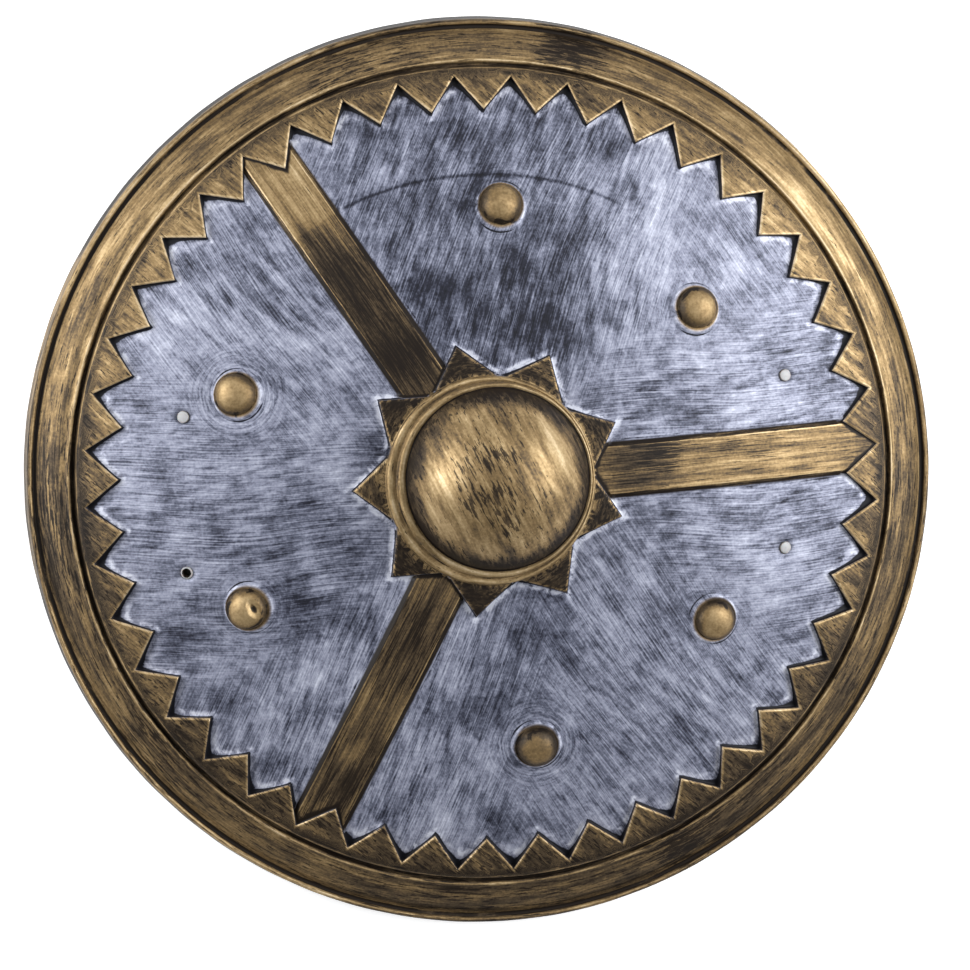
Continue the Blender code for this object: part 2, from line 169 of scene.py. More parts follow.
# How finely the sheet is divided
SHARED_RADIUS = 219.2
RIM_COLUMNS = 440
BOSS_COLUMNS = 360
STUD_COLUMNS = 48
HOLE_COLUMNS = 20
FRONT_SPACING = 3.6
BACK_SPACING = 6.5
RIVET_STEPS = 40
RIVET_TURNING_RADIUS = 20.0
STRAP_ROWS = 121
WEBBING_RIBS = 8

# The shield lies turned this far before the camera
PICTURE_TURN = math.radians(4.32)


def srgb(text):
    """Linear colour with alpha from an sRGB hex value."""
    parts = [int(text[i : i + 2], 16) / 255 for i in (1, 3, 5)]
    return (*[p / 12.92 if p <= 0.04045 else ((p + 0.055) / 1.055) ** 2.4 for p in parts], 1.0)


def feed(tree, node, inputs):
    """Link sockets to a node's inputs, or set the inputs to values."""
    for key, value in inputs.items():
        if isinstance(value, bpy.types.NodeSocket):
            tree.links.new(value, node.inputs[key])
        else:
            node.inputs[key].default_value = value


def add(tree, kind, inputs=None, stops=None, **settings):
    """Add a node with its settings, its input values or links, and a ramp's stops."""
    node = tree.nodes.new(kind)
    for name, value in settings.items():
        setattr(node, name, value)
    feed(tree, node, inputs or {})
    for index, (place, colour) in enumerate(stops or ()):
        ramp_points = node.color_ramp.elements
        point = ramp_points[index] if index < 2 else ramp_points.new(place)
        point.position = place
        point.color = srgb(colour)
    return node


def bell(value, middle, width):
    """Soft bump of height 1 about a middle value."""
    return np.exp(-(((value - middle) / width) ** 2))


def ramp(value, start, end):
    """Rise from 0 at the start value to 1 at the end value, flat beyond them."""
    return np.clip((value - start) / (end - start), 0, 1)


def dome(radius, lift=0.0):
    """Height of the domed field, or of a surface that lies the lift outside it."""
    return DOME_CENTRE_HEIGHT + np.sqrt((DOME_RADIUS + lift) ** 2 - radius**2)


def dome_frame(x, y, along=None):
    """Frame on the dome over x and y, with Z along its normal."""
    place = Vector((x, y, float(dome(math.hypot(x, y)))))
    normal = (place - Vector((0.0, 0.0, DOME_CENTRE_HEIGHT))).normalized()
    way = Vector((-y, x, 0.0)) if along is None else Vector(along)
    across = way.cross(normal).normalized()
    turn = Matrix((across, normal.cross(across), normal)).transposed().to_4x4()
    return Matrix.Translation(place) @ turn


def outline_half(count, root, tip):
    """Root point, direction and outward normal of a toothed outline in one half tooth."""
    half = math.pi / count
    start = np.array((root, 0.0))
    way = tip * np.array((math.cos(half), math.sin(half))) - start
    way /= np.hypot(*way)
    return half, start, way, np.array((way[1], -way[0]))


def beyond_outline(x, y, count, root, tip):
    """How far outward of a toothed outline points lie, and their share of the way round a tooth."""
    half, start, _, out = outline_half(count, root, tip)
    radius = np.hypot(x, y)
    turn = np.arctan2(y, x) % (2 * half)
    folded = np.minimum(turn, 2 * half - turn)
    distance = (radius * np.cos(folded) - start[0]) * out[0] + radius * np.sin(folded) * out[1]
    return distance, turn / (2 * half)


def outside_teeth(x, y):
    """How far inward of the ring of teeth points lie, and their share of the way round a tooth."""
    distance, share = beyond_outline(x, y, TOOTH_COUNT, TOOTH_ROOT_RADIUS, TOOTH_TIP_RADIUS)
    return -distance, share


def outside_star(x, y):
    """How far outward of the star points lie, and their share of the way round a star point."""
    return beyond_outline(x, y, STAR_POINTS, STAR_ROOT_RADIUS, STAR_TIP_RADIUS)


def bar_places(x, y):
    """Distance along and across each bar."""
    places = []
    for index in range(BAR_COUNT):
        angle = 2 * math.pi * index / BAR_COUNT
        along = x * math.cos(angle) + y * math.sin(angle)
        places.append((along, y * math.cos(angle) - x * math.sin(angle)))
    return places


def surface(x, y, inset=0.0):
    """Height of the sheet's front over the field, or of its back, which lies the inset inside it."""
    lift = np.interp(outside_teeth(x, y)[0] + inset, *zip(*CUT_WALL)) * TOOTH_RELIEF
    star = np.interp(outside_star(x, y)[0] + inset, *zip(*CUT_WALL)) * STAR_RELIEF
    lift = np.maximum(lift, star)
    for along, across in bar_places(x, y):
        share = np.interp(np.abs(across) + inset - BAR_HALF_TOP, *zip(*BAR_WALL))
        lift = np.maximum(lift, np.where(along > 0, share, 0.0) * BAR_RELIEF)
    return dome(np.hypot(x, y), lift - inset)


def sheet_row(places, inset):
    """Points of the sheet's front or back over places in the plan."""
    return np.column_stack((places, surface(places[:, 0], places[:, 1], inset)))


def crease_share(x, y):
    """How deep the crease is at a place, from 0 to 1."""
    angle = np.degrees(np.arctan2(y, x))
    ends = ramp(angle, CREASE_START, CREASE_START + 4) * ramp(angle, CREASE_END, CREASE_END - 4)
    middle = CREASE_RADIUS + 0.5 * np.sin(np.radians(angle * 7))
    return ends * bell(np.hypot(x, y), middle, CREASE_WIDTH)


def settled(points):
    """Give points the slight waves of thin formed plastic, the crease and an unevenly trimmed edge."""
    x, y, z = points.T
    radius = np.hypot(x, y)
    turn = np.arctan2(y, x)
    waves = np.sin(x / 31 + 0.7) * np.sin(y / 27 + 1.9) + 0.5 * np.sin((x + y) / 15 + 2.4)
    fade = ramp(radius, 58, 73) * ramp(radius, 236, 224)
    result = points.copy()
    result[:, 2] = z + WAVE_HEIGHT * waves * fade - CREASE_DEPTH * crease_share(x, y) * fade
    trim = 0.08 * (1 + np.sin(turn * 23)) + 0.06 * (1 + np.sin(turn * 57 + 1))
    result[:, :2] *= (1 - ramp(radius, 244.5, 249.5) * trim / SHIELD_RADIUS)[:, None]
    return result


class Cloud:
    """Flat points and the edges that their triangles must keep."""

    def __init__(self):
        self.points = []
        self.edges = []

    def line(self, points, keep=None, closed=False):
        """Add a line of points, leaving out the ones not kept."""
        keep = np.ones(len(points), bool) if keep is None else keep
        last = None
        first = len(self.points)
        for point, kept in zip(points, keep):
            if kept:
                self.points.append(point)
                if last is not None:
                    self.edges.append((last, len(self.points) - 1))
                last = len(self.points) - 1
            else:
                last = None
        if closed and keep.all():
            self.edges.append((last, first))

    def triangles(self, rings):
        """Triangles between the points, apart from the ones inside the rings given by their corners."""
        flat = [Vector(p) for p in self.points]
        verts, _, faces, *_ = delaunay_2d_cdt(flat, self.edges, [], 0, 1e-4, False)
        flat = np.array([tuple(v) for v in verts])
        faces = np.array([f for f in faces if len(f) == 3])
        middle = flat[faces].mean(axis=1)
        keep = np.ones(len(faces), bool)
        for ring in rings:
            keep &= ~inside(ring, middle)
        a, b, c = (flat[faces[:, i]] for i in range(3))
        turn = (b[:, 0] - a[:, 0]) * (c[:, 1] - a[:, 1]) - (b[:, 1] - a[:, 1]) * (c[:, 0] - a[:, 0])
        faces[turn < 0] = faces[turn < 0][:, ::-1]
        return flat, faces[keep & (np.abs(turn) > 1e-9)]


def inside(ring, points):
    """Which points lie inside a convex ring that runs anticlockwise."""
    result = np.ones(len(points), bool)
    for (x0, y0), (x1, y1) in zip(ring, np.roll(ring, -1, axis=0)):
        result &= (x1 - x0) * (points[:, 1] - y0) - (y1 - y0) * (points[:, 0] - x0) > 0
    return result


def outline_rows(count, root, tip, offsets, samples):
    """Closed rows of points that run beside a toothed outline."""
    half, start, way, out = outline_half(count, root, tip)
    for offset in offsets:
        base = start + out * offset
        first = -base[1] / way[1]
        last = (math.sin(half) * base[0] - math.cos(half) * base[1]) / (
            math.cos(half) * way[1] - math.sin(half) * way[0]
        )
        line = base + np.outer(np.linspace(first, last, samples + 1), way)
        radius = np.hypot(*line.T)
        turn = np.arctan2(line[:, 1], line[:, 0])
        radius = np.concatenate((radius[:-1], radius[:0:-1]))
        turn = np.concatenate((turn[:-1], 2 * half - turn[:0:-1]))
        turns = (turn + 2 * half * np.arange(count)[:, None]).ravel()
        radii = np.tile(radius, count)
        yield np.stack((radii * np.cos(turns), radii * np.sin(turns)), axis=1)


def circle(radius, columns, centre=(0.0, 0.0)):
    """Evenly spaced points round a circle in the plan."""
    angle = 2 * np.pi * np.arange(columns) / columns
    return np.stack((centre[0] + radius * np.cos(angle), centre[1] + radius * np.sin(angle)), axis=1)


def stud_places():
    """Plan places of the six studs, two in each sector between bars, a little out of true."""
    turn_cos = math.cos(PICTURE_TURN)
    turn_sin = math.sin(PICTURE_TURN)
    for number, (aside, up) in enumerate(STUD_OFFSETS):
        side = 1 if number % 2 else -1
        angle = math.radians((number // 2 + 0.5) * 360 / BAR_COUNT + side * STUD_SPREAD_ANGLE)
        x = STUD_CIRCLE_RADIUS * math.cos(angle) + aside * turn_cos + up * turn_sin
        y = STUD_CIRCLE_RADIUS * math.sin(angle) + up * turn_cos - aside * turn_sin
        yield x, y


def turned_in(matrix, profile, columns):
    """Points of a shape turned about the Z axis of a frame, row by row."""
    angle = 2 * np.pi * np.arange(columns) / columns
    radius, height = np.array(profile).T
    points = np.stack(
        (
            np.outer(radius, np.cos(angle)),
            np.outer(radius, np.sin(angle)),
            np.repeat(height[:, None], columns, axis=1),
        ),
        axis=2,
    ).reshape(-1, 3)
    turn = np.array(matrix)
    return points @ turn[:3, :3].T + turn[:3, 3]


def ring_faces(rows, columns, closed=False):
    """Faces between rows of points; a closed shape is filled by a fan round its last point."""
    faces = []
    for row in range(rows - 1):
        low = row * columns
        high = low + columns
        for column in range(columns):
            after = (column + 1) % columns
            faces.append((low + column, low + after, high + after, high + column))
    if closed:
        last = (rows - 1) * columns
        faces += [(last + column, last + (column + 1) % columns, last + columns) for column in range(columns)]
    return faces


def sag(radius):
    """How far the dome has dropped at a distance from where a frame touches it."""
    return math.sqrt(DOME_RADIUS**2 - radius**2) - DOME_RADIUS


def stud_profile(inset):
    """Radius and height of a stud and its collar, from its foot to its top."""
    wide = STUD_RADIUS - inset
    if inset:
        foot = [(STUD_RING_RADIUS, -inset), (wide + 0.9, -inset), (wide + 0.2, -inset + 0.2)]
    else:
        foot = [(STUD_RING_RADIUS, 0.0), (14.3, 0.02), (13.9, 0.12), (13.5, 0.5), (13.0, 0.85)]
        foot += [(12.3, 0.98), (11.8, 0.85), (11.4, 0.62), (11.15, 0.6)]
    rings = 6 if inset else 12
    base = -inset + 0.6 if inset else STUD_COLLAR_RISE
    top = STUD_RISE - inset
    cap = []
    for index in range(rings):
        turn = math.radians(88) * (1 - index / rings)
        cap.append((wide * math.sin(turn), base + (top - base) * math.cos(turn)))
    return [(r, h + sag(r)) for r, h in foot + cap]


def boss_profile(inset):
    """Radius and height of the boss and its two collars, from the outer collar to the top."""
    if inset:
        low = COLLAR_TOP_OUTER - SHEET_WALL
        high = COLLAR_TOP_INNER - SHEET_WALL
        points = [(54.3, low - 0.6), (53.6, low), (51.2, low), (50.8, low + 0.5)]
        points += [(50.4, high - 0.3), (49.9, high), (48.0, high)]
    else:
        outer = [(55.95, -2.3), (55.7, -1.0), (55.2, -0.3), (54.4, 0.0), (53.5, -0.1), (52.8, -0.5)]
        inner = [(52.2, -1.5), (51.9, -0.4), (51.2, -0.1), (50.5, 0.0), (49.7, -0.2), (49.1, -0.7)]
        points = [(r, COLLAR_TOP_OUTER + h) for r, h in outer + [(52.4, -0.4)]]
        points += [(r, COLLAR_TOP_INNER + h) for r, h in inner + [(48.75, -0.7)]]
    rings = 10 if inset else 22
    radius = BALL_RADIUS - inset
    for index in range(rings):
        turn = math.radians(BALL_EDGE_ANGLE - (1 if inset else 0)) * (1 - index / rings)
        points.append((radius * math.sin(turn), BALL_HEIGHT + radius * math.cos(turn)))
    return points


def off_centre(points):
    """Shift the ball of the boss sideways within its outer collar, as it was formed."""
    share = np.clip((COLLAR_RADIUS - np.hypot(*points[:, :2].T)) / (COLLAR_RADIUS - BALL_RADIUS), 0, 1)
    result = points.copy()
    result[:, :2] += np.array(BALL_SHIFT) * share[:, None]
    return result


def band_line(start, end, steps):
    """Evenly spaced points on the slightly bulging broad band."""
    points = []
    for index in range(steps + 1):
        share = index / steps
        radius = start[0] + (end[0] - start[0]) * share
        height = start[1] + (end[1] - start[1]) * share
        points.append((radius, height + BAND_BULGE * 4 * share * (1 - share)))
    return points


def rim_profile():
    """Radius and height of the rim, from the top of the tooth ring over lip and skirt to its back."""
    front = [(r, float(dome(r, TOOTH_RELIEF))) for r in (SHARED_RADIUS, 220.4)]
    edge = float(dome(TOOTH_RING_RADIUS, TOOTH_RELIEF))
    front += [(221.0, edge - 0.2), (221.4, edge - 1.1)]
    front += [(221.9, VALLEY_HEIGHT + 1.3), (222.3, VALLEY_HEIGHT + 0.25)]
    front += [(222.8, VALLEY_HEIGHT), (223.4, VALLEY_HEIGHT + 0.6), (223.9, RIDGE_HEIGHT - 0.8)]
    front += [(224.5, RIDGE_HEIGHT - 0.2), (RIDGE_RADIUS, RIDGE_HEIGHT), (225.8, RIDGE_HEIGHT - 0.25)]
    front += [(226.4, RIDGE_HEIGHT - 0.8)] + band_line(BAND_TOP, BAND_FOOT, 10)
    front += [(242.7, GROOVE_HEIGHT + 0.2), (243.2, GROOVE_HEIGHT)]
    front += [(244.0, GROOVE_HEIGHT), (244.5, GROOVE_HEIGHT + 0.1)]
    middle = LIP_RADIUS - LIP_HALF_WIDTH
    for degrees in (155, 135, 115, 95, 70, 45, 22, 0):
        turn = math.radians(degrees)
        front.append((middle + LIP_HALF_WIDTH * math.cos(turn), LIP_SIDE_HEIGHT + LIP_CROWN * math.sin(turn)))
    flare = (SHIELD_RADIUS - LIP_RADIUS) / LIP_SIDE_HEIGHT
    front += [(SHIELD_RADIUS - flare * height, height) for height in (10.0, 7.0, 4.0, 1.6, 0.3)]
    front += [(SHIELD_RADIUS - 0.25, 0.0), (SHIELD_RADIUS - 1.25, 0.0)]
    back = [(SHIELD_RADIUS - SHEET_WALL - flare * height, height) for height in (0.3, 6.0, 12.6)]
    back += [(246.0, 14.0), (245.5, 13.3), (245.0, 12.5), (243.0, 12.4)]
    back += band_line((241.6, 13.2), (225.9, 22.0), 4)
    back += [(222.6, 20.45), (220.9, float(dome(220.9, -SHEET_WALL)) + 0.15)]
    back += [(220.1, float(dome(220.1, 0.5))), (219.7, float(dome(219.7, 2.4)))]
    back += [(SHARED_RADIUS, float(dome(SHARED_RADIUS, TOOTH_RELIEF - SHEET_WALL)))]
    return front, back


def field_cloud(inset):
    """Points of the field with its teeth, star and bars, with rows along every edge."""
    fine = not inset
    cloud = Cloud()
    studs = list(stud_places())
    rings = [circle(BOSS_RING_RADIUS, BOSS_COLUMNS if fine else BOSS_COLUMNS // 2)]
    for x, y in studs:
        profile = [(STUD_RING_RADIUS, sag(STUD_RING_RADIUS))]
        rings.append(turned_in(dome_frame(x, y), profile, STUD_COLUMNS if fine else STUD_COLUMNS // 2)[:, :2])
    for x, y in RIVET_PLACES.values():
        rings.append(circle(RIVET_HOLE_RADIUS, HOLE_COLUMNS, (x, y)))
    for ring in rings:
        cloud.line(ring, closed=True)
    cloud.line(circle(SHARED_RADIUS, RIM_COLUMNS), closed=True)

    offsets = [edge - inset for edge, _ in CUT_WALL]
    offsets += [2.4, 4.2] if fine else []
    inward = [-offset for offset in offsets]
    for row in outline_rows(TOOTH_COUNT, TOOTH_ROOT_RADIUS, TOOTH_TIP_RADIUS, inward, 12 if fine else 6):
        cloud.line(row, np.hypot(*row.T) < SHARED_RADIUS - 0.5, closed=True)
    for row in outline_rows(STAR_POINTS, STAR_ROOT_RADIUS, STAR_TIP_RADIUS, offsets, 14 if fine else 7):
        cloud.line(row, np.hypot(*row.T) > BOSS_RING_RADIUS + 0.5, closed=True)

    along = np.arange(50.0, 219.0, 2.4 if fine else 5.0)
    edges = [BAR_HALF_TOP + edge - inset for edge, _ in BAR_WALL]
    for index in range(BAR_COUNT):
        angle = 2 * math.pi * index / BAR_COUNT
        for across in edges + [-edge for edge in edges]:
            x = along * math.cos(angle) - across * math.sin(angle)
            y = along * math.sin(angle) + across * math.cos(angle)
            clear = (outside_teeth(x, y)[0] + inset > 1.9) & (outside_star(x, y)[0] + inset > 1.9)
            cloud.line(np.stack((x, y), axis=1), clear & (np.hypot(x, y) > BOSS_RING_RADIUS + 1))

    if fine:
        turns = np.radians(np.arange(CREASE_START - 2, CREASE_END + 2, 0.7))
        for radius in CREASE_RADIUS + np.array((-1.8, -0.9, -0.3, 0.3, 0.9, 1.8)):
            line = np.stack((radius * np.cos(turns), radius * np.sin(turns)), axis=1)
            far = np.min([np.hypot(*(line - stud).T) for stud in studs], axis=0) > STUD_RING_RADIUS + 1.5
            far &= np.abs(np.abs(bar_places(*line.T)[1][1]) - 14) > 2.6
            cloud.line(line, far)

    spacing = FRONT_SPACING if fine else BACK_SPACING
    rows = np.arange(-SHARED_RADIUS, SHARED_RADIUS, spacing * math.sqrt(3) / 2)
    for number, y in enumerate(rows):
        xs = np.arange(-SHARED_RADIUS, SHARED_RADIUS, spacing) + spacing / 2 * (number % 2)
        ys = np.full(len(xs), y)
        radius = np.hypot(xs, ys)
        keep = (radius < SHARED_RADIUS - 2) & (radius > BOSS_RING_RADIUS + 1.6)
        for distance in (outside_teeth(xs, ys)[0], outside_star(xs, ys)[0]):
            keep &= (distance + inset < -3) | (distance + inset > (5.6 if fine else 3.0))
        for far, across in bar_places(xs, ys):
            keep &= (far < 0) | (np.abs(np.abs(across) + inset - 14) > 3.4)
        round_places = [(*stud, STUD_RING_RADIUS) for stud in studs]
        round_places += [(*place, RIVET_HOLE_RADIUS) for place in RIVET_PLACES.values()]
        for x, y, reach in round_places:
            keep &= np.hypot(xs - x, ys - y) > reach + 1.5
        if fine:
            keep &= np.abs(radius - CREASE_RADIUS) > 2.6
        cloud.points += [(px, py) for px, py in zip(xs[keep], ys[keep])]
    flat, faces = cloud.triangles(rings)
    return sheet_row(flat, inset), faces


def blobs(x, y, spots):
    """Sum of soft round spots: place, reach and strength, as the shield lies before the camera."""
    across = x * math.cos(PICTURE_TURN) - y * math.sin(PICTURE_TURN)
    up = x * math.sin(PICTURE_TURN) + y * math.cos(PICTURE_TURN)
    total = np.zeros(len(x))
    for px, py, reach, strength in spots:
        total += strength * np.exp(-((across - px) ** 2 + (up - py) ** 2) / reach**2)
    return total


# Where the brush left more or less silver: across, up, reach and strength
SILVER_SPOTS = (
    (115, 118, 40, 0.1), (88, 156, 26, 0.08), (158, 42, 34, 0.06), (185, 5, 20, 0.03), (112, 185, 16, 0.06),
    (-150, 75, 26, 0.1), (-190, 10, 14, 0.06), (123, -33, 16, 0.12), (155, -62, 24, 0.08),
    (-60, -150, 40, 0.02), (0, 196, 34, -0.17), (-52, 192, 30, -0.15), (52, 194, 26, -0.13),
    (-62, 150, 24, -0.1), (-24, 150, 22, -0.1), (23, 102, 26, -0.32), (48, 140, 18, -0.12),
    (-10, 150, 18, -0.1), (40, 72, 16, -0.14), (20, 150, 16, -0.08), (-31, 101, 26, -0.26),
    (-4, 76, 24, -0.18), (-100, -66, 14, -0.12), (-110, -24, 20, -0.13), (105, -68, 20, -0.13),
    (-125, 107, 12, -0.16), (-103, 84, 16, -0.1), (-109, 50, 11, -0.12), (-174, 2, 9, -0.15),
    (-60, 15, 14, -0.16), (-108, 72, 24, 0.08), (-112, 22, 18, 0.06), (200, -70, 20, -0.1),
    (195, 62, 18, -0.08), (150, 108, 22, -0.05), (-165, -85, 14, -0.22), (-100, -59, 16, -0.16),
    (-143, -126, 10, -0.2), (-116, -156, 10, -0.2), (22, -72, 20, -0.22), (5, -135, 16, -0.12),
    (83, -78, 14, -0.06), (0, -190, 10, -0.2), (-44, -166, 18, -0.1), (22, -112, 18, -0.08),
    (-66, -72, 18, -0.08), (108, -145, 10, -0.15), (70, -40, 12, -0.12), (-75, -30, 14, -0.1),
)
# Which way the brush went: steep, falling to the right, and level
STEEP_SPOTS = (
    (40, 130, 60, 1.4), (-40, 150, 40, 1.2), (-40, -120, 50, 1.4), (-90, -130, 50, 1.0), (10, -90, 30, 0.6),
)
FALLING_SPOTS = ((-130, 90, 50, 1.4), (90, -110, 60, 1.6), (-110, 40, 30, 0.8), (130, 120, 40, 0.5))
LEVEL_SPOTS = (
    (-140, -10, 60, 1.6), (-120, -60, 40, 0.8), (150, -30, 50, 1.5), (150, 30, 50, 1.2), (90, 40, 30, 0.8),
)
# Where gold is lighter or darker: thick or thin gold, painted highlights on the boss's ball at (32, 16) and
# (-27, 6), painted shade at the ball's top and bottom edges at (5, 42) and (5, -42), and darker towards the
# bottom of the rim
GOLD_AND_LIGHT_SPOTS = (
    (150, 12, 50, 0.03), (80, 8, 16, -0.22), (95, 22, 14, -0.14), (-101, 160, 24, 0.08),
    (-76, 112, 22, -0.24), (-48, 70, 26, -0.34), (-45, -85, 34, -0.24), (-80, -160, 30, -0.2),
    (-73, -149, 9, 0.3), (-205, 20, 30, 0.02), (-150, -160, 60, -0.1), (0, -232, 100, -0.16),
    (32, 16, 13, 0.2), (-27, 6, 12, 0.14), (49, 233, 20, -0.14), (-41, 236, 26, -0.1), (5, -4, 20, -0.06),
    (0, 236, 60, -0.04), (205, -108, 36, -0.12), (-140, 190, 40, -0.02), (-236, 5, 40, -0.13),
    (-225, -60, 44, -0.14), (238, -20, 60, -0.1), (205, 130, 60, 0.04), (150, -190, 60, -0.14),
    (-182, 142, 34, 0.08), (172, 166, 36, 0.12), (5, 42, 13, -0.16), (5, -42, 12, -0.1), (-66, 0, 12, 0.16),
)
# Where the gold brush missed the plastic
BARE_SPOTS = (
    (-6, 16, 8, 0.18), (7, 16, 6, 0.13), (-19, 7, 8, 0.14), (1, -4, 7, 0.17), (-12, -9, 8, 0.16),
    (6, -20, 8, 0.16), (22, -11, 8, 0.06), (49, 233, 18, 0.14), (-80, 222, 20, 0.1), (92, 24, 16, 0.12),
    (140, 24, 20, 0.08), (110, -207, 16, 0.16), (-180, -145, 22, 0.1), (-236, -30, 20, 0.08),
)
# Where the dark of the skirt is lifted: partly paint that reached down it, partly painted light where the
# side softboxes face it
SKIRT_PAINT_AND_LIGHT_SPOTS = ((-250, 30, 130, 0.75), (190, 160, 110, 0.5), (250, 0, 80, 0.4))
# Paint of a part where nothing else is said: gold, lighter edge line, dark gaps of bare plastic and painted
# shade, build-up, and lighter or darker paint with painted light and shade
PLAIN_GOLD = (1.0, 0.0, 0.0, 0.0, 0.0)
NO_GOLD = (0.0, 0.0, 0.0, 0.0, 0.0)


def field_paint(x, y):
    """Gold, lighter edge line, dark gaps, paint build-up, and lighter or darker paint with painted light and
    shade over field, teeth, star and bars.
    """
    teeth, tooth_share = outside_teeth(x, y)
    star, star_share = outside_star(x, y)
    gold = np.maximum(ramp(teeth, 0.5, 0.0), ramp(star, 0.5, 0.0))
    # The lighter line along each raised edge is partly worn paint on the edge and partly painted highlight.
    edge = bell(teeth, -0.35, 0.5) + bell(star, -0.35, 0.5)
    later = ramp(tooth_share, 0.45, 0.55)
    width = 0.75 + 0.9 * later + 2.4 * np.abs(2 * tooth_share - 1) ** 4
    star_width = 0.8 + 1.2 * np.abs(2 * star_share - 1) ** 4
    gap_and_shade = np.clip(1.35 - np.maximum(teeth, 0.3) / width, 0, 1) * (teeth > -0.1)
    gap_and_shade = np.maximum(gap_and_shade, np.clip(1.35 - np.maximum(star, 0.3) / star_width, 0, 1) * (star > -0.1))
    pile = bell(teeth, width * 1.3 + 0.8, 0.9) * (1 - 0.5 * later)
    pile = np.maximum(pile, 1.4 * bell(star, star_width * 1.3 + 0.6, 1.0))
    raised = (teeth < 0.5) | (star < 0.5)
    # Star faces are a darker gold, and a painted shade darkens the tooth ring near its outer edge.
    tone_and_painted_light = np.where(star < 0.3, -0.26, 0.0) - 0.16 * bell(np.hypot(x, y), 219.5, 3.0)
    for number, (along, across) in enumerate(bar_places(x, y)):
        wide = np.abs(across)
        on = (along > 0) & ~raised
        # Painted light and shade on the creased bar: lighter on one side of the crease, darker on the other.
        if number == CREASED_BAR:
            tone_and_painted_light += np.where(on & (wide < 14.5), 0.06 * np.clip((along - CREASE_RADIUS) / 0.8, -1, 1), 0)
        gold = np.where(on, np.maximum(gold, ramp(wide, 15.5, 15.0)), gold)
        # A lighter line along each bar's top edge, partly painted highlight, and painted shade on the bar's
        # walls.
        edge += np.where(on, 0.8 * bell(wide, 12.6, 0.4), 0)
        tone_and_painted_light -= np.where(on & (wide > 12.9) & (wide < 15.6), 0.3, 0)
        near = np.where(on & (wide < 14.5), np.exp(-np.minimum(teeth, star) / 2.5), 0)
        beside = np.maximum(np.where(wide < 15.5, near, gap_and_shade), 0.45 * bell(wide, 15.9, 0.5))
        gap_and_shade = np.where(on, beside, gap_and_shade)
        pile = np.where(on & (wide > 16), np.maximum(pile, 0.5 * bell(wide, 16.9, 0.7)), pile)
    return gold, np.clip(edge, 0, 1), np.clip(gap_and_shade, 0, 1), np.clip(pile, 0, 1.4), tone_and_painted_light


def field_brush(x, y):
    """Where a point lies in the strokes of the gold brush: along them and across them, in strokes."""
    radius = np.hypot(x, y)
    brush = np.stack((x / 9.0, y / 9.0, (x + y) / 2.2), axis=1)
    star = outside_star(x, y)[0] < 0.5
    brush[star] = np.stack((x / 6.0, y / 6.0, radius / 2.0), axis=1)[star]
    for index, (along, across) in enumerate(bar_places(x, y)):
        on = (along > 0) & (np.abs(across) < 16) & ~star & (outside_teeth(x, y)[0] > 0.5)
        brush[on] = np.stack((along / 30.0, across / 1.3, across * 0 + 7.0 * index), axis=1)[on]
    return brush


def ways_of(x, y):
    """Shares of the steep, falling and level strokes at each point."""
    ways = (STEEP_SPOTS, FALLING_SPOTS, LEVEL_SPOTS)
    shares = np.stack([blobs(x, y, spots) + 0.06 for spots in ways], axis=1)
    shares = np.maximum(shares, 0.0) ** 2
    return shares / shares.sum(axis=1, keepdims=True)


def curls_of(x, y):
    """Place in the strokes that run round the nearest stud, and how much these strokes show."""
    away = np.stack([np.hypot(x - px, y - py) for px, py in stud_places()])
    turn = np.stack([np.arctan2(y - py, x - px) for px, py in stud_places()])
    nearest = away.argmin(axis=0)
    distance = away.min(axis=0)
    angle = np.take_along_axis(turn, nearest[None], 0)[0]
    shows = ramp(distance, 32, 18) * np.array(CURLS)[nearest] * (np.hypot(x, y) < 198)
    return np.stack((distance, 2 * np.cos(angle), 2 * np.sin(angle)), axis=1), shows


class Shell:
    """Points, faces and paint of the sheet, gathered part by part."""

    def __init__(self):
        self.points, self.faces, self.back = [], [], []
        self.values = {name: [] for name in ("wear_and_painted_light", "tone_and_painted_light", "ways", "curl", "brush", "marks")}
        self.count = 0

    def take(self, points, faces, back=False, paint=PLAIN_GOLD, brush=None, crease=0.0):
        """Add a part of the sheet with its paint, its places in the brush strokes and its crease."""
        x, y = points[:, 0], points[:, 1]
        gold, edge, gap_and_shade, pile, tone_and_painted_light = paint
        curl, shows = curls_of(x, y)
        given = {
            "wear_and_painted_light": (gold, edge, gap_and_shade),
            "tone_and_painted_light": (blobs(x, y, SILVER_SPOTS), blobs(x, y, GOLD_AND_LIGHT_SPOTS) + tone_and_painted_light, pile),
            "ways": ways_of(x, y).T,
            "curl": curl.T,
            "brush": (field_brush(x, y) if brush is None else brush).T,
            "marks": (shows, crease, blobs(x, y, BARE_SPOTS)),
        }
        for name, values in given.items():
            full = [np.broadcast_to(value, len(points)) for value in values]
            self.values[name].append(np.stack(full, axis=1))
        self.points.append(points)
        order = slice(None, None, -1) if back else slice(None)
        self.faces += [tuple(int(i) + self.count for i in face)[order] for face in faces]
        self.back += [int(back)] * len(faces)
        self.count += len(points)

    def mesh(self, name, materials):
        """The gathered parts as one mesh, with each value as an attribute of its points."""
        points = settled(np.concatenate(self.points))
        mesh = bpy.data.meshes.new(name)
        mesh.from_pydata((points * MM).tolist(), [], self.faces)
        for key, parts in self.values.items():
            layer = mesh.attributes.new(key, "FLOAT_VECTOR", "POINT")
            layer.data.foreach_set("vector", np.concatenate(parts).astype(np.float32).ravel())
        mesh.polygons.foreach_set("material_index", self.back)
        for material in materials:
            mesh.materials.append(material)
        mend(mesh, weld=0.02, split=True)
        mesh.shade_smooth()
        return mesh


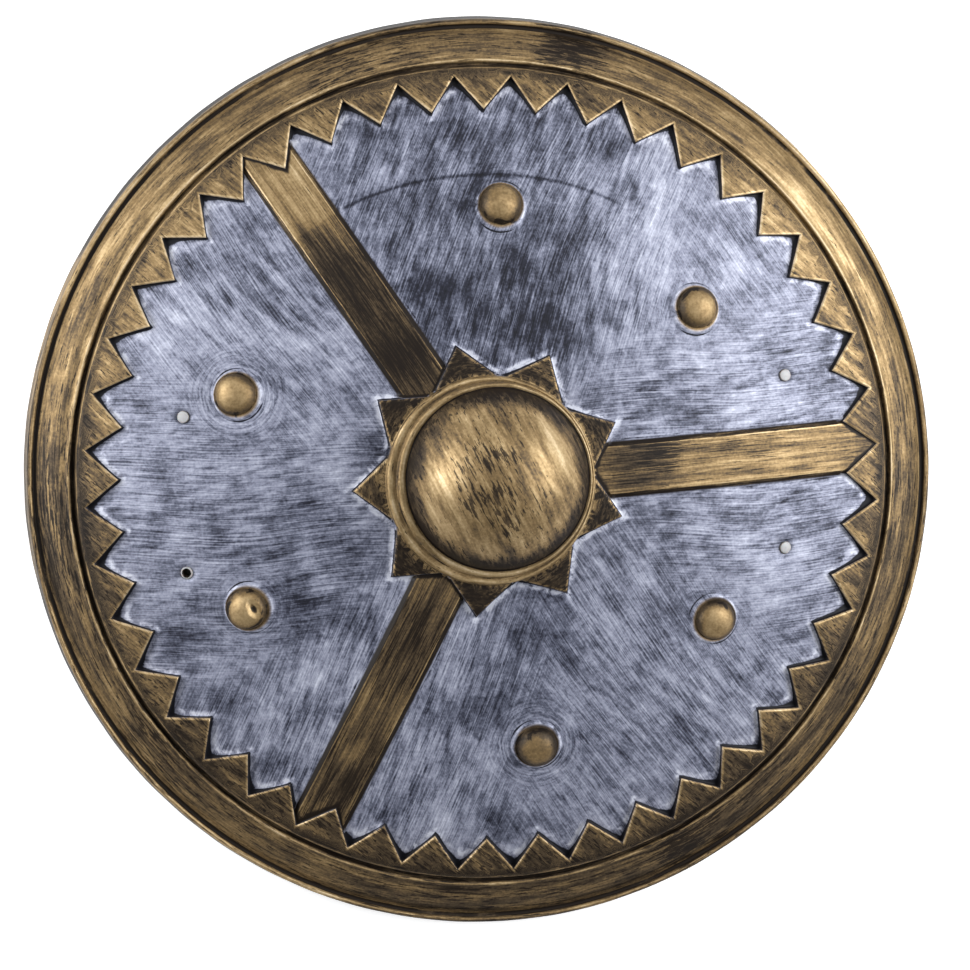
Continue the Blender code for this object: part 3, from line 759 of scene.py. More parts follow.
def add_boss(shell, inset):
    """Boss with its ball and two beaded collars."""
    columns = BOSS_COLUMNS // 2 if inset else BOSS_COLUMNS
    profile = boss_profile(inset)
    rows = []
    for radius in (BOSS_RING_RADIUS, 55.0 if inset else 56.15):
        rows.append(sheet_row(circle(radius, columns), inset))
    rows.append(turned_in(Matrix.Identity(4), profile, columns))
    rows.append([(0.0, 0.0, BALL_HEIGHT + BALL_RADIUS - inset)])
    points = np.concatenate(rows)
    x, y, z = points.T
    radius = np.hypot(x, y)
    # Lighter lines on the collars' beads, partly painted highlight; dark rings in the collars' grooves and
    # where the ball meets its collar, partly bare plastic and partly painted shade.
    edge = bell(radius, 54.4, 0.8) + bell(radius, 50.6, 0.8)
    gap_and_shade = 0.5 * bell(radius, 52.5, 0.4) + 0.8 * bell(radius, 48.9, 0.6) + 0.55 * bell(radius, 55.9, 0.25)
    gold = np.where(radius > 56.1, field_paint(x, y)[0], 1.0)
    slant = math.radians(-62) - PICTURE_TURN
    along = x * math.cos(slant) + y * math.sin(slant)
    across = y * math.cos(slant) - x * math.sin(slant)
    brush = np.stack((along / 16.0, across / 2.2, z / 9.0), axis=1)
    collar = radius > 48.8
    brush[collar] = np.stack((x / 12.0, y / 12.0, radius / 1.5), axis=1)[collar]
    # Painted shade: the ball darkens towards its edge, less so at its upper left.
    foot = ramp(radius, 40, 47) * (1 - 0.55 * np.exp(-((x + 30) ** 2 + (y - 34) ** 2) / 24**2))
    tone_and_painted_light = np.where(collar, 0.08, 0.08 - 0.44 * foot)
    paint = (gold, 0.6 * np.clip(edge, 0, 1), np.clip(gap_and_shade, 0, 1), 0.0, tone_and_painted_light)
    faces = ring_faces(len(profile) + 2, columns, closed=True)
    shell.take(off_centre(points), faces, bool(inset), paint, brush)


def add_studs(shell, inset):
    """Round studs on low collars, square to the dome and leaning a little outward; one is dented."""
    columns = STUD_COLUMNS // 2 if inset else STUD_COLUMNS
    profile = stud_profile(inset)
    faces = ring_faces(len(profile), columns, closed=True)
    for index, place in enumerate(stud_places()):
        points = turned_in(Matrix.Identity(4), profile, columns)
        points = np.concatenate((points, [(0.0, 0.0, STUD_RISE - inset)]))
        x, y, z = points.T
        radius = np.hypot(x, y)
        dent = np.zeros(len(points))
        if index == DENTED_STUD:
            dent = np.clip(1.3 - 1.3 * np.hypot((x + 4.8) / 3.4, (y - 1.0) / 6.0), 0, 1)
            dent *= radius < STUD_RADIUS
        z -= DENT_DEPTH * dent
        x += (DENTED_STUD_SHIFT if index == DENTED_STUD else STUD_SHIFT) * ramp(radius, 14, 11)
        around = 0.5 + 0.5 * np.sin(np.arctan2(y, x) * 2 + 1.7 * index)
        gold = ramp(radius, 12.9, 11.7)
        gap_and_shade = (0.25 + 0.4 * around) * bell(radius, 14.2, 0.5) + 0.3 * bell(radius, 11.3, 0.35) + 0.6 * dent
        pile = (0.7 - 0.5 * around) * bell(radius, 12.9, 0.7)
        # Painted highlight and shade: each stud is lighter on top and darker towards its foot; the lighter
        # line round its collar is partly painted highlight.
        tone_and_painted_light = np.where(radius < 11.2, 0.18 - 0.34 * ramp(radius, 7, 11), 0.0)
        brush = np.stack((x / 20, y / 20, z / 12 + index), axis=1)
        turn = np.array(dome_frame(*place))
        placed = points @ turn[:3, :3].T + turn[:3, 3]
        paint = (gold, 0.3 * bell(radius, 12.4, 0.5), gap_and_shade, pile, tone_and_painted_light)
        shell.take(placed, faces, bool(inset), paint, brush)


def add_rim(shell):
    """Tooth ring's outer edge, ridge, broad band, groove, lip and their back."""
    front, back = rim_profile()
    for profile, behind in ((front, False), ([front[-1]] + back, True)):
        points = turned_in(Matrix.Identity(4), profile, RIM_COLUMNS)
        x, y, z = points.T
        radius = np.hypot(x, y)
        turn = np.arctan2(y, x)
        steps = np.hypot(*np.diff(np.array(profile), axis=0).T)
        run = np.repeat(np.concatenate(([0.0], np.cumsum(steps))), RIM_COLUMNS)
        # Lighter lines on the ridge, the band's foot, the tooth ring's edge and the lip's crest, partly worn
        # paint and partly painted highlight.
        edge = 0.9 * bell(radius, RIDGE_RADIUS, 0.5) + 0.5 * bell(radius, 242.0, 0.5)
        edge += 0.5 * bell(radius, 221.0, 0.3) + np.where(z > 15, 0.7 * bell(radius, 246.0, 0.8), 0)
        uneven = 0.5 + 0.25 * np.sin(turn * 5 + 0.6) + 0.25 * np.sin(turn * 13 + 2.0)
        # Painted shade in the valley inside the ridge; the groove before the lip is dark with bare plastic
        # and painted shade.
        valley = ramp(radius, 221.2, 222.0) * ramp(radius, 224.4, 223.6)
        groove = ramp(radius, 242.3, 242.8) * ramp(radius, 245.2, 244.7)
        # The skirt is dark with bare plastic and painted shade, lifted where paint reached down it and where
        # light falls from the sides.
        skirt = np.where(radius > LIP_RADIUS - 0.4, ramp(z, 14.5, 11.5), 0)
        gap_and_shade = (0.14 + 0.3 * uneven) * valley + (0.5 + 0.4 * uneven) * groove
        gap_and_shade += skirt * np.clip(0.95 - blobs(x, y, SKIRT_PAINT_AND_LIGHT_SPOTS), 0.2, 1)
        # Painted shade in the valley and on the tooth ring's outer edge.
        tone_and_painted_light = -0.16 * valley - 0.14 * ramp(radius, 221.5, 220.0)
        brush = np.stack((x / radius * 14.0, y / radius * 14.0, run / 1.5), axis=1)
        faces = ring_faces(len(profile), RIM_COLUMNS)
        if not behind:
            faces = [face[::-1] for face in faces]
        paint = (1.0, np.clip(edge, 0, 1), np.clip(gap_and_shade, 0, 1), 0.0, tone_and_painted_light)
        shell.take(points, faces, behind, paint, brush)


def make_sheet(paint, plastic):
    """The whole formed sheet: painted front, bare back, and the walls of the rivet holes."""
    shell = Shell()
    points, faces = field_cloud(0.0)
    x, y = points[:, 0], points[:, 1]
    shell.take(points, faces, paint=field_paint(x, y), crease=crease_share(x, y))
    shell.take(*field_cloud(SHEET_WALL), back=True)
    for inset in (0.0, SHEET_WALL):
        add_boss(shell, inset)
        add_studs(shell, inset)
    add_rim(shell)
    for place in RIVET_PLACES.values():
        ring = circle(RIVET_HOLE_RADIUS, HOLE_COLUMNS, place)
        rows = [sheet_row(ring, inset) for inset in (SHEET_WALL, 0.0)]
        shell.take(np.concatenate(rows), ring_faces(2, HOLE_COLUMNS), True, NO_GOLD)
    return new_piece("formed_sheet", shell.mesh("formed_sheet", (paint, plastic)))


def new_piece(name, mesh):
    """Object with a mesh, in the scene."""
    piece = bpy.data.objects.new(name, mesh)
    bpy.context.scene.collection.objects.link(piece)
    return piece


def apply_step(piece, step):
    """Make a modifier's result the piece's own mesh."""
    bpy.context.view_layer.update()
    result = bpy.data.meshes.new_from_object(piece.evaluated_get(bpy.context.evaluated_depsgraph_get()))
    piece.modifiers.remove(step)
    piece.data = result


def mend(mesh, weld=0.0, split=False):
    """Weld points closer than the given millimetres, and split broad faces or else turn all outward."""
    work = bmesh.new()
    work.from_mesh(mesh)
    if weld:
        bmesh.ops.remove_doubles(work, verts=work.verts, dist=weld * MM)
    if split:
        bmesh.ops.triangulate(work, faces=[face for face in work.faces if len(face.verts) > 3])
    else:
        bmesh.ops.recalc_face_normals(work, faces=work.faces)
    work.to_mesh(mesh)
    work.free()


# Noise runs about this value
NOISE_MIDDLE = 0.5
# Colours of the paints on black plastic, from bare (0) to thick (1)
SILVER = (
    (0.0, "#15161d"), (1.0, "#d4d8e6"),
    (0.22, "#282a37"), (0.42, "#5f6374"), (0.6, "#8f93a6"), (0.8, "#b2b6c8"),
)
GOLD = (
    (0.0, "#181009"), (1.0, "#dec8a2"),
    (0.22, "#2b2217"), (0.42, "#564836"), (0.6, "#89724f"), (0.8, "#b59c73"),
)
# Steep, falling and level strokes, in degrees
STROKE_ANGLES = (68, -54, 2)


def new_material(name):
    """Material with its node tree and its shader."""
    material = bpy.data.materials.new(name)
    material.use_nodes = True
    return material, material.node_tree, material.node_tree.nodes["Principled BSDF"]


def summed(tree, start, *parts):
    """Start value plus each part times its amount; each is a socket or a number."""
    for part, amount in parts:
        given = {0: part, 1: amount, 2: start}
        start = add(tree, "ShaderNodeMath", given, operation="MULTIPLY_ADD").outputs[0]
    return start


def swayed(tree, start, *noises):
    """Start value moved by noises, each about its middle and by its amount."""
    return summed(tree, start - NOISE_MIDDLE * sum(amount for _, amount in noises), *noises)


def streaks(tree, place, angle, length, width, seed):
    """Stroke pattern seen from above, of strokes this long and wide in millimetres."""
    size = (length * MM, width * MM, 1.0)
    given = {"Vector": place, "Rotation": (0, 0, angle), "Scale": size, "Location": (seed * MM, 0, seed)}
    spot = add(tree, "ShaderNodeMapping", given, vector_type="TEXTURE").outputs[0]
    given = {"Vector": spot, "Scale": 1.0, "Detail": 3.0, "Roughness": 0.65}
    return add(tree, "ShaderNodeTexNoise", given).outputs["Fac"]


def brushed_paint():
    """Metallic acrylic dry-brushed on black formed plastic.

    The eye gets black in the gaps and hollows, partly bare plastic and partly painted shade, silver strokes
    on the field, gold strokes on everything raised, a lighter line along each edge, partly worn paint and
    partly painted highlight, and painted highlights and shade on the boss, the studs and the rim.
    """
    material, tree, shader = new_material("dry_brushed_acrylic")
    place = add(tree, "ShaderNodeTexCoord").outputs["Object"]
    sway = add(tree, "ShaderNodeTexNoise", {"Vector": place, "Scale": 9.0, "Detail": 0.0}).outputs["Color"]
    sway = add(tree, "ShaderNodeVectorMath", {0: sway, 1: (0.5, 0.5, 0.5)}, operation="SUBTRACT").outputs[0]
    given = {0: sway, 1: (0.015, 0.015, 0.0), 2: place}
    hand = add(tree, "ShaderNodeVectorMath", given, operation="MULTIPLY_ADD").outputs[0]
    split = {}
    for name in ("wear_and_painted_light", "tone_and_painted_light", "ways", "marks"):
        attribute = add(tree, "ShaderNodeAttribute", attribute_name=name).outputs["Vector"]
        split[name] = add(tree, "ShaderNodeSeparateXYZ", {0: attribute}).outputs
    gold, edge, gap_and_shade = split["wear_and_painted_light"]
    silver_tone, gold_tone_and_light, pile = split["tone_and_painted_light"]
    round_share, crease, thin = split["marks"]

    strokes, fine_strokes = 0.0, 0.0
    for number, (share, degrees) in enumerate(zip(split["ways"], STROKE_ANGLES)):
        angle = math.radians(degrees) - PICTURE_TURN
        fine = streaks(tree, hand, angle, 30.0, 0.9, 3.0 * number)
        broad = streaks(tree, hand, angle + 0.25, 34.0, 5.0, 11.0 + number)
        both = summed(tree, 0.0, (fine, 0.6), (broad, 0.4))
        strokes = summed(tree, strokes, (both, share))
        fine_strokes = summed(tree, fine_strokes, (fine, share))
    curl = add(tree, "ShaderNodeAttribute", attribute_name="curl").outputs["Vector"]
    given = {"Vector": curl, "Scale": 0.75, "Detail": 3.0, "Roughness": 0.6, "Distortion": 0.4}
    rounds = add(tree, "ShaderNodeTexNoise", given).outputs["Fac"]
    given = {0: round_share, 2: strokes, 3: rounds}
    strokes = add(tree, "ShaderNodeMix", given, data_type="FLOAT").outputs[0]

    given = {"Vector": place, "Scale": 45.0, "Detail": 5.0, "Roughness": 0.6}
    blotch = add(tree, "ShaderNodeTexNoise", given).outputs["Fac"]
    grit = add(tree, "ShaderNodeTexNoise", {"Vector": place, "Scale": 700.0, "Detail": 2.0}).outputs["Fac"]
    given = {"Vector": place, "Scale": 130.0, "Detail": 4.0, "Roughness": 0.65, "Distortion": 0.8}
    dabs = add(tree, "ShaderNodeTexNoise", given).outputs["Fac"]
    piled = add(tree, "ShaderNodeMapRange", {0: dabs, 1: 0.4, 2: 0.62, 3: 0.1, 4: 0.75}).outputs[0]
    bare = summed(tree, swayed(tree, 0.0, (blotch, 1.2)), (gap_and_shade, 1.0))
    smooth = {"interpolation_type": "SMOOTHSTEP"}
    bare = add(tree, "ShaderNodeMapRange", {0: bare, 1: 0.35, 2: 0.7}, **smooth).outputs[0]
    silver_level = swayed(tree, 0.53, (strokes, 1.85), (dabs, 0.5), (blotch, 0.75), (grit, 0.35))
    silver_level = summed(tree, silver_level, (silver_tone, 1.0), (pile, piled))
    # Painted shade: silver is darker in the crease; the gaps darken it too, partly bare plastic and partly
    # painted shade.
    silver_level = summed(tree, silver_level, (crease, -0.25), (bare, -0.9))
    silver = add(tree, "ShaderNodeValToRGB", {0: silver_level}, stops=SILVER).outputs[0]

    brush = add(tree, "ShaderNodeAttribute", attribute_name="brush").outputs["Vector"]
    given = {"Vector": brush, "Scale": 1.0, "Detail": 3.0, "Roughness": 0.6}
    gold_fine = add(tree, "ShaderNodeTexNoise", given).outputs["Fac"]
    given = {"Vector": brush, "Scale": 0.3, "Detail": 3.0}
    gold_broad = add(tree, "ShaderNodeTexNoise", given).outputs["Fac"]
    given = {"Vector": brush, "Scale": 1.7, "Detail": 4.0, "Roughness": 0.6, "Distortion": 0.3}
    missed = add(tree, "ShaderNodeTexNoise", given).outputs["Fac"]
    missed = summed(tree, missed, (gold_tone_and_light, -0.35), (thin, 1.0))
    missed = add(tree, "ShaderNodeMapRange", {0: missed, 1: 0.59, 2: 0.65}, **smooth).outputs[0]
    gold_level = swayed(tree, 0.56, (gold_fine, 0.7), (gold_broad, 0.8), (grit, 0.3), (blotch, 0.4))
    # Gold is made lighter or darker by its spots and parts, which hold painted highlights and painted shade,
    # and lighter along edges, partly as painted highlight.
    gold_level = summed(tree, gold_level, (gold_tone_and_light, 1.0), (edge, 0.42), (bare, -0.8), (missed, -0.36))
    gilt = add(tree, "ShaderNodeValToRGB", {0: gold_level}, stops=GOLD).outputs[0]

    colour = add(tree, "ShaderNodeMix", {0: gold, 6: silver, 7: gilt}, data_type="RGBA").outputs[2]
    mixed = {"data_type": "FLOAT"}
    paint_level = add(tree, "ShaderNodeMix", {0: gold, 2: silver_level, 3: gold_level}, **mixed).outputs[0]
    covered = add(tree, "ShaderNodeMapRange", {0: paint_level, 1: 0.2, 2: 0.6}).outputs[0]
    metal = add(tree, "ShaderNodeMix", {0: gold, 2: 0.22, 3: 0.5}, **mixed).outputs[0]
    rough = add(tree, "ShaderNodeMapRange", {0: paint_level, 1: 0.0, 2: 1.0, 3: 0.55, 4: 0.45}).outputs[0]
    ridges = add(tree, "ShaderNodeMix", {0: gold, 2: fine_strokes, 3: gold_fine}, **mixed).outputs[0]
    relief = add(tree, "ShaderNodeBump", {"Height": ridges, "Strength": 0.35, "Distance": 0.0002}).outputs[0]
    look = {"Base Color": colour, "Roughness": rough, "Specular IOR Level": 0.22, "Normal": relief}
    feed(tree, shader, {**look, "Metallic": summed(tree, 0.0, (metal, covered))})
    return material


def bare_plastic():
    """Black vacuum-formed ABS, unpainted: a dull skin with a fine grain."""
    material, tree, shader = new_material("vacuum_formed_abs")
    place = add(tree, "ShaderNodeTexCoord").outputs["Object"]
    grain = add(tree, "ShaderNodeTexNoise", {"Vector": place, "Scale": 900.0, "Detail": 3.0}).outputs["Fac"]
    cloud = add(tree, "ShaderNodeTexNoise", {"Vector": place, "Scale": 25.0, "Detail": 3.0}).outputs["Fac"]
    black = ((0.3, "#17181b"), (0.75, "#2a2b2f"))
    colour = add(tree, "ShaderNodeValToRGB", {0: cloud}, stops=black).outputs[0]
    rough = add(tree, "ShaderNodeMapRange", {0: grain, 1: 0.3, 2: 0.7, 3: 0.42, 4: 0.6}).outputs[0]
    relief = add(tree, "ShaderNodeBump", {"Height": grain, "Strength": 0.3, "Distance": 0.0001}).outputs[0]
    feed(tree, shader, {"Base Color": colour, "Roughness": rough, "Normal": relief})
    return material


def white_nylon():
    """Moulded natural nylon of the push rivets: creamy, faintly waxy, with paint dust, and painted shade at
    the edge of each head and in the hollow rivet's bore.
    """
    material, tree, shader = new_material("moulded_nylon")
    place = add(tree, "ShaderNodeTexCoord").outputs["Object"]
    dust = add(tree, "ShaderNodeTexNoise", {"Vector": place, "Scale": 500.0, "Detail": 3.0}).outputs["Fac"]
    rivet_shade = add(tree, "ShaderNodeAttribute", attribute_name="rivet_shade").outputs["Fac"]
    amount = summed(tree, swayed(tree, 0.0, (dust, 0.5)), (rivet_shade, 1.0))
    dusty_and_shaded = ((0.0, "#b4b4b6"), (1.0, "#1d1612"), (0.5, "#77726c"))
    colour = add(tree, "ShaderNodeValToRGB", {0: amount}, stops=dusty_and_shaded).outputs[0]
    waxy = {"Subsurface Weight": 0.1, "Subsurface Scale": 0.002}
    feed(tree, shader, {"Base Color": colour, "Roughness": 0.38, **waxy})
    return material


def black_webbing():
    """Woven polypropylene webbing: ribs 1.5 mm apart across the strap, with a soft sheen."""
    material, tree, shader = new_material("woven_webbing")
    weave = add(tree, "ShaderNodeAttribute", attribute_name="weave").outputs["Vector"]
    given = {"Vector": weave, "Scale": 2 * math.pi / 10, "Distortion": 0.6, "Detail": 1.0}
    ribs = add(tree, "ShaderNodeTexWave", given, bands_direction="Y").outputs["Fac"]
    given = {"Vector": weave, "Scale": 2 * math.pi / 8, "Distortion": 0.5}
    yarns = add(tree, "ShaderNodeTexWave", given, bands_direction="X").outputs["Fac"]
    # Painted highlight and shade: the colour follows the weave's relief, lighter on the crests and darker
    # between them.
    height = summed(tree, 0.0, (ribs, yarns))
    black = ((0.0, "#0c0c0e"), (1.0, "#34353a"))
    colour = add(tree, "ShaderNodeValToRGB", {0: height}, stops=black).outputs[0]
    relief = add(tree, "ShaderNodeBump", {"Height": height, "Strength": 0.7, "Distance": 0.0003}).outputs[0]
    feed(tree, shader, {"Base Color": colour, "Roughness": 0.75, "Sheen Weight": 0.3, "Normal": relief})
    return material


def rivet_outline(hollow):
    """Radius and height of a push rivet from the middle of its head to its tail."""
    head, shank, bore, tail = RIVET_HEAD_RADIUS, RIVET_SHANK_RADIUS, RIVET_BORE_RADIUS, RIVET_TAIL_RADIUS
    grip = SHEET_WALL + STRAP_GAP + STRAP_THICKNESS + SEAT_GAP
    end = grip + RIVET_TAIL_HEIGHT
    points = [(0.001, 1.28)]
    if hollow:
        points = [(0.001, RIVET_BORE_FLOOR), (bore - 0.2, RIVET_BORE_FLOOR), (bore, RIVET_BORE_FLOOR + 0.2)]
        points += [(bore, 0.3), (2.3, 0.9), (2.5, 1.2)]
    points += [(2.65, 1.27), (3.0, 1.12), (head - 0.15, 0.85), (head, 0.6), (head, 0.35)]
    points += [(head - 0.1, SEAT_GAP), (shank, SEAT_GAP), (shank, -grip), (tail - 0.1, -grip)]
    points += [(tail, -grip - 0.2), (tail - 0.1, -end + 0.4), (tail - 0.5, -end), (0.001, -end)]
    return points


def rivet_tree(material):
    """Geometry nodes: turn an outline into a rivet and set one on each place, along its normal."""
    tree = bpy.data.node_groups.new("push_rivets", "GeometryNodeTree")
    kinds = {"Places": "Geometry", "Outline": "Object", "Steps": "Int", "Turning radius": "Float"}
    for name, kind in kinds.items():
        tree.interface.new_socket(name, in_out="INPUT", socket_type="NodeSocket" + kind)
    tree.interface.new_socket("Rivets", in_out="OUTPUT", socket_type="NodeSocketGeometry")
    given = add(tree, "NodeGroupInput").outputs
    outline = add(tree, "GeometryNodeObjectInfo", {"Object": given["Outline"]}).outputs["Geometry"]
    line = add(tree, "GeometryNodeMeshToCurve", {"Mesh": outline}).outputs["Curve"]
    sizes = {"Resolution": given["Steps"], "Radius": given["Turning radius"]}
    path = add(tree, "GeometryNodeCurvePrimitiveCircle", sizes).outputs["Curve"]
    turned = add(tree, "GeometryNodeCurveToMesh", {"Curve": path, "Profile Curve": line}).outputs["Mesh"]
    welded = add(tree, "GeometryNodeMergeByDistance", {"Geometry": turned, "Distance": 0.000005}).outputs[0]
    normal = add(tree, "GeometryNodeInputNamedAttribute", {"Name": "stand"}, data_type="FLOAT_VECTOR")
    turn = add(tree, "FunctionNodeAlignRotationToVector", {"Vector": normal.outputs["Attribute"]}, axis="Z")
    sockets = {"Points": given["Places"], "Instance": welded, "Rotation": turn.outputs["Rotation"]}
    set_on = add(tree, "GeometryNodeInstanceOnPoints", sockets).outputs[0]
    real = add(tree, "GeometryNodeRealizeInstances", {"Geometry": set_on}).outputs[0]
    done = add(tree, "GeometryNodeSetMaterial", {"Geometry": real, "Material": material}).outputs[0]
    add(tree, "NodeGroupOutput", {0: done})
    return tree


def make_rivets(name, places, hollow, tree):
    """Push rivets with domed heads, one in each place."""
    outline = rivet_outline(hollow)
    corners = [((radius - RIVET_TURNING_RADIUS) * MM, -height * MM, 0.0) for radius, height in outline]
    mesh = bpy.data.meshes.new(name + "_outline")
    mesh.from_pydata(corners, [(i, i + 1) for i in range(len(outline) - 1)], [])
    blank = new_piece(name + "_outline", mesh)
    frames = [dome_frame(*place) for place in places]
    points = bpy.data.meshes.new(name)
    points.from_pydata([frame.translation * MM for frame in frames], [], [])
    stand = points.attributes.new("stand", "FLOAT_VECTOR", "POINT")
    for item, seat in zip(stand.data, frames):
        item.vector = seat.to_3x3() @ Vector((0.0, 0.0, 1.0))
    piece = new_piece(name, points)
    step = piece.modifiers.new("Rivets", "NODES")
    step.node_group = tree
    sockets = {item.name: item.identifier for item in tree.interface.items_tree if item.in_out == "INPUT"}
    step[sockets["Outline"]] = blank
    step[sockets["Steps"]] = RIVET_STEPS
    step[sockets["Turning radius"]] = RIVET_TURNING_RADIUS * MM
    apply_step(piece, step)
    bpy.data.objects.remove(blank)
    mend(piece.data, weld=0.01)
    # Painted shade: a dark crescent on the side of each head that faces the shield's middle, a fainter ring
    # round the rest of the head, and a dark bore in the hollow rivet.
    rivet_shade = piece.data.attributes.new("rivet_shade", "FLOAT", "POINT")
    for item, vertex in zip(rivet_shade.data, piece.data.vertices):
        near = min(frames, key=lambda seat: (seat.translation * MM - vertex.co).length)
        local = near.inverted() @ (vertex.co / MM)
        radius = math.hypot(local.x, local.y)
        rim = math.exp(-(((radius - RIVET_HEAD_RADIUS) / 0.4) ** 2))
        inner = 1.0 if hollow and radius < 2.55 else 0.0
        toward_middle = vertex.co.x * (vertex.co.x - near.translation.x * MM) < 0
        item.value = max(inner, (0.8 if toward_middle and not hollow else 0.3) * rim)
    piece.data.shade_smooth()
    piece.data.set_sharp_from_angle(angle=math.radians(40))
    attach(piece, "root")
    return piece


def make_strap(name, upper, lower, material):
    """Webbing strap that lies on the back of the sheet at both rivets and bows away between them."""
    ends = [dome_frame(*place).translation for place in (upper, lower)]
    middle = (ends[0] + ends[1]) / 2
    matrix = dome_frame(middle.x, middle.y, along=ends[0] - ends[1])
    half_span = (ends[0] - ends[1]).length / 2
    end = half_span + STRAP_END_LENGTH
    tilt = matrix.to_3x3() @ Vector((0.0, 0.0, 1.0))
    edge_drop = STRAP_WIDTH / 2 * math.sqrt(1 - tilt.z**2) + STRAP_THICKNESS
    lowest = (matrix.translation.z - STRAP_GROUND_CLEARANCE - edge_drop) / tilt.z
    rest_depth = SHEET_WALL + STRAP_GAP + STRAP_THICKNESS / 2
    along = np.linspace(-end, end, STRAP_ROWS)
    depth = DOME_RADIUS - np.sqrt(DOME_RADIUS**2 - along**2) + rest_depth
    bow = np.clip(1 - np.abs(along) / (half_span - STRAP_FLAT_LENGTH), 0, 1)
    depth += (lowest - rest_depth) * np.sin(np.pi / 2 * bow) ** STRAP_BOW_SHAPE
    slope = np.gradient(-depth, along)
    normal = np.stack((-slope, np.ones_like(slope)), axis=1) / np.hypot(1, slope)[:, None]
    steps = WEBBING_RIBS * 4
    section = []
    for side in (1, -1):
        for index in range(steps + 1):
            share = index / steps
            across = side * (STRAP_WIDTH / 2 - 0.25) * (1 - 2 * share)
            swell = 0.06 * math.cos(2 * math.pi * share * WEBBING_RIBS) - 0.06
            section.append((across, side * (STRAP_THICKNESS / 2 + swell)))
        section.append((-side * STRAP_WIDTH / 2, 0.0))
    points, weave = [], []
    for place, height, way in zip(along, -depth, normal):
        for across, out in section:
            points.append((across, place + out * way[0], height + out * way[1]))
            weave.append((across, place, 0.0))
    count = len(section)
    faces = [face[::-1] for face in ring_faces(STRAP_ROWS, count)]
    faces += [tuple(range(count))[::-1], tuple(range(len(points) - count, len(points)))]
    mesh = bpy.data.meshes.new(name)
    mesh.from_pydata([(matrix @ Vector(point)) * MM for point in points], [], faces)
    layer = mesh.attributes.new("weave", "FLOAT_VECTOR", "POINT")
    layer.data.foreach_set("vector", np.array(weave, np.float32).ravel())
    mesh.materials.append(material)
    piece = new_piece(name, mesh)
    for place in (upper, lower):
        cut_hole(piece, place)
    mend(piece.data)
    piece.data.shade_smooth()
    piece.data.set_sharp_from_angle(angle=math.radians(50))
    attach(piece, "root")
    return piece


def cut_hole(piece, place):
    """Cut the hole that a rivet's shank passes through."""
    work = bmesh.new()
    size = {"radius1": RIVET_HOLE_RADIUS, "radius2": RIVET_HOLE_RADIUS, "depth": PUNCH_LENGTH}
    bmesh.ops.create_cone(work, cap_ends=True, segments=24, **size)
    bmesh.ops.transform(work, matrix=Matrix.Scale(MM, 4) @ dome_frame(*place), verts=work.verts)
    mesh = bpy.data.meshes.new("punch")
    work.to_mesh(mesh)
    work.free()
    punch = new_piece("punch", mesh)
    step = piece.modifiers.new("Hole", "BOOLEAN")
    step.operation = "DIFFERENCE"
    step.solver = "EXACT"
    step.object = punch
    apply_step(piece, step)
    bpy.data.objects.remove(punch)


# Camera: distance, tilt from straight above, compass direction, and where the point at the look
# height over the origin lies in the picture
LOOK_HEIGHT = 9.7
CAMERA_DISTANCE = 2.2
CAMERA_TILT = math.radians(6.4)
CAMERA_COMPASS = math.radians(140.9)
PIXELS_PER_MM = 1.8228
ORIGIN_PIXEL = (481.3, 473.2)
PICTURE_SIZE = 970
SENSOR = 36.0


def make_camera():
    """Camera above the lying shield, tilted a little, at the photograph's viewing angle."""
    back = Vector(
        (
            math.sin(CAMERA_TILT) * math.cos(CAMERA_COMPASS),
            math.sin(CAMERA_TILT) * math.sin(CAMERA_COMPASS),
            math.cos(CAMERA_TILT),
        )
    )
    right = Vector((0.0, 1.0, 0.0)).cross(back).normalized()
    up = back.cross(right)
    unturn = Matrix.Rotation(-PICTURE_TURN, 3, "Z")
    back, right, up = unturn @ back, unturn @ right, unturn @ up
    middle = PICTURE_SIZE / 2
    target = right * ((middle - ORIGIN_PIXEL[0]) / PIXELS_PER_MM * MM)
    target -= up * ((middle - ORIGIN_PIXEL[1]) / PIXELS_PER_MM * MM)
    target.z += LOOK_HEIGHT * MM
    data = bpy.data.cameras.new("camera")
    data.sensor_width = SENSOR
    data.lens = PIXELS_PER_MM * CAMERA_DISTANCE / MM / PICTURE_SIZE * SENSOR
    data.clip_start = 0.05
    data.clip_end = 30.0
    camera = bpy.data.objects.new("camera", data)
    turn = Matrix((right, up, back)).transposed().to_4x4()
    camera.matrix_world = Matrix.Translation(target + back * CAMERA_DISTANCE) @ turn
    bpy.context.scene.collection.objects.link(camera)
    bpy.context.scene.camera = camera


def make_light(name, compass, height, distance, size, power):
    """White softbox that stands beside the shield and looks at its middle."""
    data = bpy.data.lights.new(name, "AREA")
    data.shape = "RECTANGLE"
    data.size, data.size_y = size
    data.energy = power
    light = bpy.data.objects.new(name, data)
    angle = math.radians(compass) - PICTURE_TURN
    rise = math.radians(height)
    way = Vector((math.cos(angle) * math.cos(rise), math.sin(angle) * math.cos(rise), math.sin(rise)))
    light.location = distance * way
    light.rotation_mode = "QUATERNION"
    light.rotation_quaternion = way.to_track_quat("Z", "Y")
    bpy.context.scene.collection.objects.link(light)


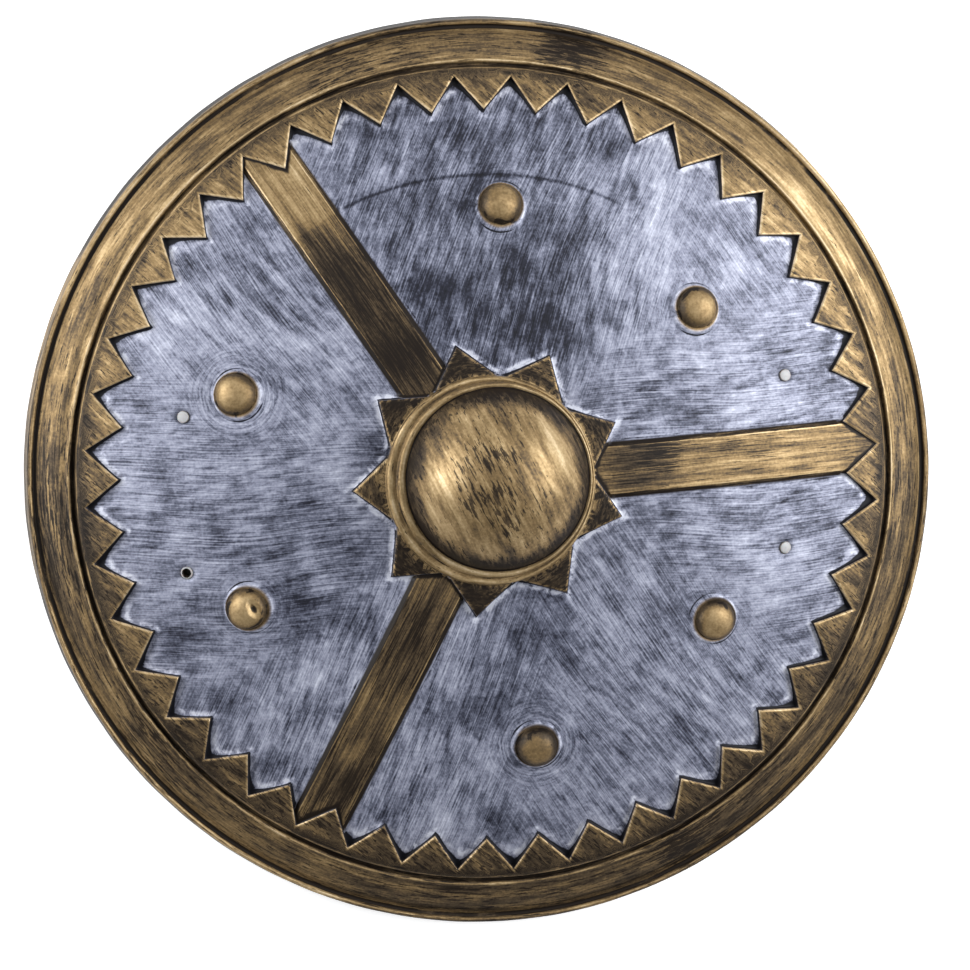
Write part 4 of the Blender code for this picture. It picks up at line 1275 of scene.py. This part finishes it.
# Each softbox: name, compass direction, height angle, distance, size and power
SOFTBOXES = (
    ("softbox_right", 12, 38, 1.7, (1.3, 0.9), 29),
    ("softbox_left", 166, 26, 1.7, (1.3, 0.9), 26),
    ("softbox_top", 80, 50, 2.0, (1.2, 0.8), 7),
)
SURROUND_GLOW = 0.2
# Light that the pale floor gives of itself, as on a lit table
FLOOR_GLOW = 0.62
FLOOR_HALF_SIZE = 6.0
FLOOR_HEIGHT = -0.0002


def make_stage():
    """Pale floor, two side softboxes, a weak one above and a soft surround."""
    square = ((-1, -1), (1, -1), (1, 1), (-1, 1))
    corners = [(x * FLOOR_HALF_SIZE, y * FLOOR_HALF_SIZE, FLOOR_HEIGHT) for x, y in square]
    mesh = bpy.data.meshes.new("floor")
    mesh.from_pydata(corners, [], [(0, 1, 2, 3)])
    material, tree, shader = new_material("studio_floor")
    pale = {"Base Color": srgb("#f4f4f4"), "Roughness": 0.9, "Specular IOR Level": 0.1}
    feed(tree, shader, {**pale, "Emission Color": srgb("#ffffff"), "Emission Strength": FLOOR_GLOW})
    mesh.materials.append(material)
    new_piece("floor", mesh)
    for softbox in SOFTBOXES:
        make_light(*softbox)
    world = bpy.data.worlds.new("surround")
    world.use_nodes = True
    surround = world.node_tree.nodes["Background"]
    feed(world.node_tree, surround, {"Color": srgb("#f2f4f8"), "Strength": SURROUND_GLOW})
    bpy.context.scene.world = world
    bpy.context.scene.view_settings.view_transform = "Standard"


def build():
    """Camera, stage and the five pieces that stand for the solids."""
    make_camera()
    make_stage()
    sheet = make_sheet(brushed_paint(), bare_plastic())
    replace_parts(sheet, "shield_shell")
    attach(sheet, "root")
    tree = rivet_tree(white_nylon())
    solid = [name for name in RIVET_PLACES if name != HOLLOW_RIVET]
    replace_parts(make_rivets("push_rivets", [RIVET_PLACES[name] for name in solid], False, tree), *solid)
    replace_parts(make_rivets("hollow_rivet", [RIVET_PLACES[HOLLOW_RIVET]], True, tree), HOLLOW_RIVET)
    webbing = black_webbing()
    for name, side in (("arm_strap", "left"), ("hand_strap", "right")):
        ends = [RIVET_PLACES[f"rivet_{side}_{level}"] for level in ("upper", "lower")]
        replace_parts(make_strap(name + "_webbing", *ends, webbing), name)


build()
